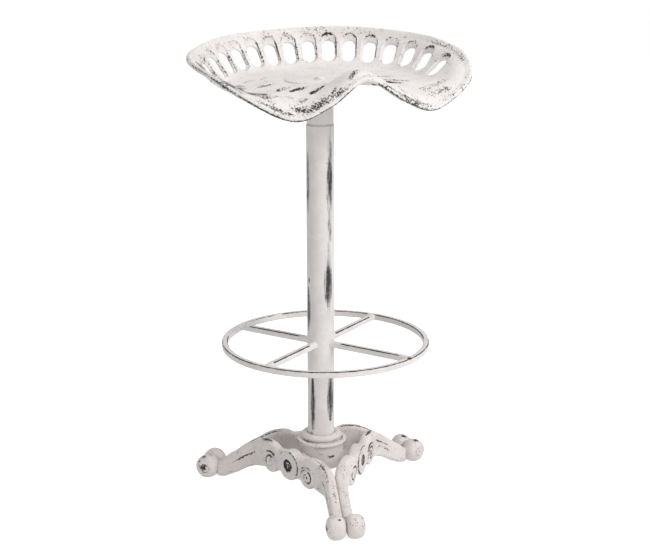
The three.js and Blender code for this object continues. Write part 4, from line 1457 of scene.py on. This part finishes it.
class PanelMarks:
    """Rubbed places of one panel, given in its own frame."""

    def __init__(self, sizes):
        self.sizes = sizes
        self.line = Panel(sizes)
        self.marks = []

    def bar(self, side, first, last, inward, down, reach, strength):
        """Along a bar, from share to share of the leg: mm in from the outer face, share down from the top."""
        places = []
        for stop in np.linspace(first, last, 6):
            high = float(eased(stop, OUTLINE[:, 0], OUTLINE[:, 1]))
            low = float(eased(stop, OUTLINE[:, 0], OUTLINE[:, 2]))
            z = (high + (low - high) * down) * self.sizes.shoulder
            outward = self.sizes.panel_thick / 2 - inward * MM
            along = side * stop * self.line.length
            places.append(self.line.point(np.array(along), np.array(outward), np.array(z)))
        self.marks += brushed(places, reach * MM, strength)

    def arc(self, x, z, radius, first, last, proud, reach, strength):
        """Round a point of the front face, in degrees from the panel's right."""
        turns = np.radians(np.linspace(first, last, 8))
        places = [(x + radius * MM * math.cos(t), -self.sizes.panel_face - proud * MM,
                   z + radius * MM * math.sin(t)) for t in turns]
        self.marks += [(a, b, reach * MM, strength) for a, b in zip(places, places[1:])]

    def lobe(self, side, radius, first, last, reach, strength):
        centre = (side * self.sizes.lobe_spacing / 2, self.sizes.lobe_height)
        self.arc(*centre, radius, first, last, 1.0, reach, strength)

    def scroll(self, side, first, last, strength):
        """Along a lobe's scrolled line, from share to share of it."""
        centre = (side * self.sizes.lobe_spacing / 2, self.sizes.lobe_height)
        path = scroll_line(centre, self.sizes.panel_face + 0.3 * MM, side)
        end = len(path) - 1
        path = path[int(first * end):int(last * end) + 1:4]
        self.marks += [(a, b, 2.6 * MM, strength) for a, b in zip(path, path[1:])]

    def rosette(self, radius, first, last, reach, strength):
        self.arc(0, self.sizes.rosette_height, radius, first, last, 1.6, reach, strength)

    def roll(self, side, out, forward, up, reach, strength):
        """On a roll: mm out from its inner face, forward and up from its axis."""
        sizes = self.sizes
        at = Vector((-side * out * MM, -sizes.foot_reach - forward * MM, sizes.roll_radius + up * MM))
        at = turn_z(side * 180 / PANELS) @ at
        self.marks.append((at, at + Vector((1.5, 0, 1)) * MM, reach * MM, strength))


PANEL_WEAR = {  # for each panel: what is rubbed, and the numbers that PanelMarks takes for it
    2: [  # left in the picture
        ("bar", -1, 0.28, 0.43, 6, 0.02, 6.5, 1.0), ("bar", -1, 0.44, 0.62, 8, 0.0, 3.4, 0.85),
        ("bar", -1, 0.50, 0.74, 0, 0.42, 3.0, 0.85), ("bar", 1, 0.30, 0.45, 8, 0.0, 4.0, 0.7),
        ("bar", 1, 0.42, 0.6, 3, 0.0, 4.5, 0.6), ("bar", 1, 0.48, 0.8, 0.5, 0.5, 4.2, 0.85),
        ("bar", 1, 0.78, 0.9, 0.5, 0.3, 3.6, 0.85), ("bar", 1, 0.6, 0.85, 10, 0.0, 3.0, 0.55),
        ("lobe", -1, 10, 60, 200, 2.4, 1.0), ("lobe", -1, 17.5, 50, 125, 2.4, 0.95),
        ("lobe", -1, 15, 200, 260, 2.0, 0.4), ("lobe", 1, 10, -60, 70, 2.4, 1.0),
        ("lobe", 1, 17, 60, 130, 2.2, 0.75), ("lobe", 1, 0.8, 0, 360, 2.6, 1.0),
        ("rosette", 24.5, -25, 80, 2.4, 0.9), ("rosette", 24.5, 130, 200, 2.2, 0.6),
        ("rosette", 9.5, 0, 360, 4.2, 0.85), ("rosette", 6, 0, 360, 6, 0.8),
        ("rosette", 30, 115, 140, 3.5, 0.9),
        ("roll", 1, 30, 0, 0, 8, 1.0), ("roll", 1, 12, 8, 15, 4, 0.8), ("roll", -1, 28.4, 2, 1, 7, 0.95),
        ("roll", -1, 26, 10, 9, 5, 0.7), ("roll", -1, 21, 4, 15, 7, 0.95), ("roll", -1, 12, -2, 17, 6, 0.8),
    ],
    0: [  # right in the picture
        ("bar", 1, 0.48, 0.88, 9, 0.0, 4.4, 1.0), ("bar", 1, 0.45, 0.65, 0, 0.35, 3.4, 0.65),
        ("bar", 1, 0.5, 0.66, 0, 0.55, 3.4, 0.6), ("bar", 1, 0.26, 0.4, 6, 0.0, 3.0, 0.85),
        ("bar", -1, 0.5, 0.6, 5, 0.05, 4.0, 0.55), ("bar", -1, 0.66, 0.74, 5, 0.1, 4.0, 0.55),
        ("bar", -1, 0.3, 0.7, 0.5, 0.3, 2.4, 0.5),
        ("scroll", 1, 0.0, 1.0, 1.0), ("scroll", -1, 0.0, 0.7, 0.6), ("lobe", 1, 1, 0, 360, 2.8, 1.0),
        ("lobe", 1, 18, 20, 150, 2.4, 0.9), ("rosette", 24, 60, 260, 2.2, 0.7),
        ("rosette", 8.5, 0, 360, 3.0, 0.8), ("rosette", 17, 80, 280, 1.8, 0.45),
        ("roll", 1, 8, 0, 17, 8, 0.95), ("roll", 1, 20, 0, 17, 8, 0.95), ("roll", 1, 26, 8, -8, 5, 0.6),
        ("roll", -1, 22, 13, 6, 5.5, 1.0), ("roll", -1, 24, 7, 13, 4.5, 0.85),
    ],
    1: [  # at the back
        ("bar", 1, 0.35, 0.6, 8, 0.0, 3.8, 0.85), ("bar", -1, 0.25, 0.66, 13, 0.0, 3.2, 0.95),
        ("bar", 1, 0.3, 0.6, 14, 0.0, 3.0, 0.8), ("bar", 1, 0.5, 0.7, 0, 0.5, 3.0, 0.7),
        ("bar", -1, 0.5, 0.7, 0, 0.4, 3.0, 0.6), ("scroll", 1, 0.0, 0.8, 0.8),
        ("lobe", -1, 10, -90, 90, 2.4, 0.9),
        ("rosette", 24.5, 30, 140, 2.4, 0.8), ("rosette", 9.0, 0, 360, 3.4, 0.85),
        ("roll", 1, 28.4, 0, 0, 6, 0.9), ("roll", -1, 20, 4, 15, 7, 0.9), ("roll", -1, 8, 0, 17, 7, 0.9),
    ],
}


def panel_marks(sizes, index):
    """The rubbed places of one panel."""
    made = PanelMarks(sizes)
    for what, *numbers in PANEL_WEAR[index]:
        getattr(made, what)(*numbers)
    return made.marks


class STOOL_OT_leg_panels(bpy.types.Operator):
    """Three scrolled leg panels with their rosettes, lobes and pairs of foot rolls"""

    bl_idname = "stool.leg_panels"
    bl_label = "Leg panels"

    def execute(self, context):
        sizes = context.scene.stool_base
        first = leg_panel(sizes)
        for index in range(PANELS):
            panel = copied(first, f"leg_scroll_{index + 1}")
            smoothed(panel, 40)
            weather(panel, panel_marks(sizes, index), edge_gain=2.2)
            panel.data.transform(turn_z(panel_turn(index)))
            finish_piece(panel, "white_base", "distressed_paint", "base", f"leg_panel_{index + 1}")
        bpy.data.objects.remove(first)
        return {"FINISHED"}


# Fastenings

HEAD_RADIUS = 7.4 * MM
HEAD_HEIGHT = 5 * MM
HEAD_CHAMFER = 0.7 * MM
SHANK_RADIUS = 5 * MM
SHANK_IN = 16.3 * MM  # shank past the panel's inner face, into the boss
WASHER_THICK = 1.5 * MM
WASHER_RADIUS = 8 * MM
WASHER_EDGE = 0.4 * MM
WASHER_HOLE = 5.3 * MM


def hex_head(name, radius, low, high, chamfer):
    """A six-sided head, chamfered at the top like a turned blank."""
    middle = (0, 0, (low + high) / 2)
    head = primitive("cylinder", name, vertices=6, radius=radius, depth=high - low, location=middle)
    applied(head, "BEVEL", width=chamfer, segments=3, limit_method="ANGLE", angle_limit=math.radians(50))
    return head


def washer(name, radius, low, high, edges, steps):
    """A flat ring round the axis with softened outer edges."""
    corners = [(WASHER_HOLE, low), (radius, low), (radius, high), (WASHER_HOLE, high), (WASHER_HOLE, low)]
    return turned(name, rounded(corners, [*edges, 0], 3), steps)


class STOOL_OT_fastenings(bpy.types.Operator):
    """Rosette bolts with their washers, and the seat's centre bolt and washer"""

    bl_idname = "stool.fastenings"
    bl_label = "Fastenings"

    def execute(self, context):
        sizes = context.scene.stool_base
        seat = sizes.panel_face + ROSETTE_PROUD - POCKET_DEPTH + WASHER_THICK
        end = sizes.panel_face - sizes.panel_thick - SHANK_IN
        bolt = hex_head("rosette_bolt", HEAD_RADIUS, seat, seat + HEAD_HEIGHT, HEAD_CHAMFER)
        corners = [(0, end), (SHANK_RADIUS, end), (SHANK_RADIUS, seat + 2 * MM), (0, seat + 2 * MM)]
        with_solid(bolt, turned("shank", rounded(corners, [MM, 0], 2), 32), "UNION")
        ring = washer("rosette_washer", WASHER_RADIUS, seat - WASHER_THICK, seat, [WASHER_EDGE] * 2, 48)
        fastenings = ((bolt, "dark_steel", "panel_bolt"), (ring, "steel", "panel_washer"))
        for piece, _, _ in fastenings:
            facing_front(piece, sizes.rosette_height)
        for index in range(PANELS):
            for piece, slot, node in fastenings:
                each = copied(piece, f"{piece.name}_{index + 1}", turn_z(panel_turn(index)))
                smoothed(each, 30)
                finish_piece(each, "black_bolt", slot, "base", f"{node}_{index + 1}")
        for piece, _, _ in fastenings:
            bpy.data.objects.remove(piece)

        low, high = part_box("centre_bolt")
        under = node_top("centre_washer")
        radius, height = (high.x - low.x) / 2, high.z - under
        dome = [(radius * math.cos(t), under + height * (0.25 + 0.75 * math.sin(t)))
                for t in np.linspace(0, math.pi / 2, 9)]
        corners = [(0, low.z), (SHANK_RADIUS, low.z), (SHANK_RADIUS, under), (radius, under)]
        bolt = turned("centre_screw", np.vstack([rounded(corners, [0.8 * MM, 0], 3), dome]), 48)
        smoothed(bolt, 40)
        weather(bolt, [((0, 0, high.z), (3 * MM, 0, high.z), 5 * MM, 0.5)], edge_gain=1.5)
        finish_piece(bolt, "white_casting", "distressed_paint", "seat", "centre_bolt")
        ring = washer("centre_ring", node_radius("centre_washer"), node_bottom("centre_washer"), under,
                      [0.3 * MM, 0.5 * MM], 64)
        smoothed(ring, 30)
        weather(ring, edge_gain=2.5)
        finish_piece(ring, "white_casting", "distressed_paint", "seat", "centre_washer")
        return {"FINISHED"}


# CAD nodes that keep their own shape


CAD_FINISHES = {
    "bright_steel": ["seat_plate", "swivel_spindle", "spindle_clip", "column_plug", "tie_washer", "tie_bolt",
                     "plate_screw_1", "plate_screw_2", "plate_screw_3", "plate_screw_4"],
    "pale_polymer": ["upper_bush", "lower_bush", "thrust_washer"],
}


class STOOL_OT_cad_finishes(bpy.types.Operator):
    """Finishes of the CAD nodes that keep their own shape"""

    bl_idname = "stool.cad_finishes"
    bl_label = "Finishes of the CAD nodes"

    def execute(self, context):
        for material, names in CAD_FINISHES.items():
            for name in names:
                slots = NODES[name].data.materials
                slots.clear()
                slots.append(finishes()[material])
        return {"FINISHED"}


# Stage

CAMERA_PLACE = (-1.0214, -2.0577, 0.9967)
CAMERA_ANGLES = (74.694, 0.157, -26.617)
CAMERA_LENS = 81.96
BACKDROP = (1.0, 1.0, 1.0, 1.0)
SKY = (0.97, 0.98, 1.0, 1.0)
SKY_STRENGTH = 0.37
FLOOR_TONE = (0.86, 0.86, 0.86, 1.0)
FLOOR_SIZE = 9
FLOOR_GLOW = 0.80  # share of white that the floor shows to the camera beside its own light
LAMPS = [  # name, place, aim, size, watts
    ("key", (1.15, -1.9, 1.8), (0, 0, 0.35), 1.5, 44),
    ("fill", (-1.9, -1.2, 0.7), (0, 0, 0.2), 1.6, 7.5),
    ("top", (0.1, 0.1, 2.6), (0, 0, 0.4), 2.0, 15),
]


def camera_share(tree):
    """1 for rays that only look at the background, 0 for rays that light the object."""
    path = tree.nodes.new("ShaderNodeLightPath").outputs
    seen = maths(tree, "MAXIMUM", path["Is Camera Ray"], path["Is Glossy Ray"])
    return maths(tree, "MAXIMUM", seen, path["Is Transmission Ray"])


def stage_floor():
    """A pale floor that glows for the camera alone, and isn't there from below."""
    floor = primitive("plane", "stage_floor", size=FLOOR_SIZE)
    material, tree, surface, _ = new_material("stage_floor")
    shader = add(tree, "BsdfPrincipled", {
        "Base Color": FLOOR_TONE, "Roughness": 0.9, "Specular IOR Level": 0.0, "Emission Color": BACKDROP,
    })
    glow = maths(tree, "MULTIPLY", camera_share(tree), FLOOR_GLOW)
    tree.links.new(glow, shader.inputs["Emission Strength"])
    behind = add(tree, "BsdfTransparent").outputs[0]
    below = tree.nodes.new("ShaderNodeNewGeometry").outputs["Backfacing"]
    shown = add(tree, "MixShader", {0: below, 1: shader.outputs[0], 2: behind})
    tree.links.new(shown.outputs[0], surface)
    floor.data.materials.append(material)


def stage_world():
    """Plain soft light, and white for the camera."""
    world = bpy.data.worlds.new("studio")
    world.use_nodes = True
    tree = world.node_tree
    tree.nodes.clear()
    light = add(tree, "Background", {"Color": SKY, "Strength": SKY_STRENGTH})
    seen = add(tree, "Background", {"Color": BACKDROP, "Strength": 1.0})
    both = add(tree, "MixShader", {0: camera_share(tree), 1: light.outputs[0], 2: seen.outputs[0]})
    out = tree.nodes.new("ShaderNodeOutputWorld")
    tree.links.new(both.outputs[0], out.inputs["Surface"])
    return world


class STOOL_OT_stage(bpy.types.Operator):
    """Pale floor, white surroundings, soft lamps and the camera"""

    bl_idname = "stool.stage"
    bl_label = "Stage"

    def execute(self, context):
        scene = context.scene
        scene.view_settings.view_transform = "Standard"
        stage_floor()
        scene.world = stage_world()
        for name, place, aim, size, watts in LAMPS:
            bpy.ops.object.light_add(type="AREA", location=place)
            lamp = context.object
            lamp.name = name
            lamp.data.size = size
            lamp.data.energy = watts
            lamp.rotation_euler = (Vector(aim) - Vector(place)).to_track_quat("-Z", "Y").to_euler()
        bpy.ops.object.camera_add(location=CAMERA_PLACE, rotation=[math.radians(a) for a in CAMERA_ANGLES])
        camera = context.object
        camera.data.lens = CAMERA_LENS
        camera.data.sensor_fit = "HORIZONTAL"
        camera.data.sensor_width = 36
        camera.data.dof.use_dof = False
        scene.camera = camera
        return {"FINISHED"}


OPERATORS = (
    STOOL_OT_seat_pan, STOOL_OT_column, STOOL_OT_footrest, STOOL_OT_hub, STOOL_OT_leg_panels,
    STOOL_OT_fastenings, STOOL_OT_cad_finishes, STOOL_OT_stage,
)


class STOOL_PT_build(bpy.types.Panel):
    """Lists the stool's pieces, sizes and colours"""

    bl_idname = "STOOL_PT_build"
    bl_label = "Tractor seat stool"
    bl_space_type = "VIEW_3D"
    bl_region_type = "UI"
    bl_category = "Stool"

    def draw(self, context):
        for operator in OPERATORS:
            self.layout.operator(operator.bl_idname)
        for name in ("stool_seat", "stool_base", "stool_colours"):
            box = self.layout.box()
            group = getattr(context.scene, name)
            for prop in group.bl_rna.properties:
                if prop.identifier not in ("rna_type", "name"):
                    box.prop(group, prop.identifier)


CLASSES = (StoolSeatSizes, StoolBaseSizes, StoolColours, *OPERATORS, STOOL_PT_build)


def register():
    for item in CLASSES:
        bpy.utils.register_class(item)
    bpy.types.Scene.stool_seat = PointerProperty(type=StoolSeatSizes)
    bpy.types.Scene.stool_base = PointerProperty(type=StoolBaseSizes)
    bpy.types.Scene.stool_colours = PointerProperty(type=StoolColours)


def unregister():
    for name in ("stool_seat", "stool_base", "stool_colours"):
        delattr(bpy.types.Scene, name)
    for item in reversed(CLASSES):
        bpy.utils.unregister_class(item)


def main():
    """Builds every piece in order."""
    register()
    for operator in OPERATORS:
        group, name = operator.bl_idname.split(".")
        result = getattr(getattr(bpy.ops, group), name)()
        if "FINISHED" not in result:
            raise RuntimeError(f"{operator.bl_idname} didn't finish")


if __name__ == "__main__":
    main()
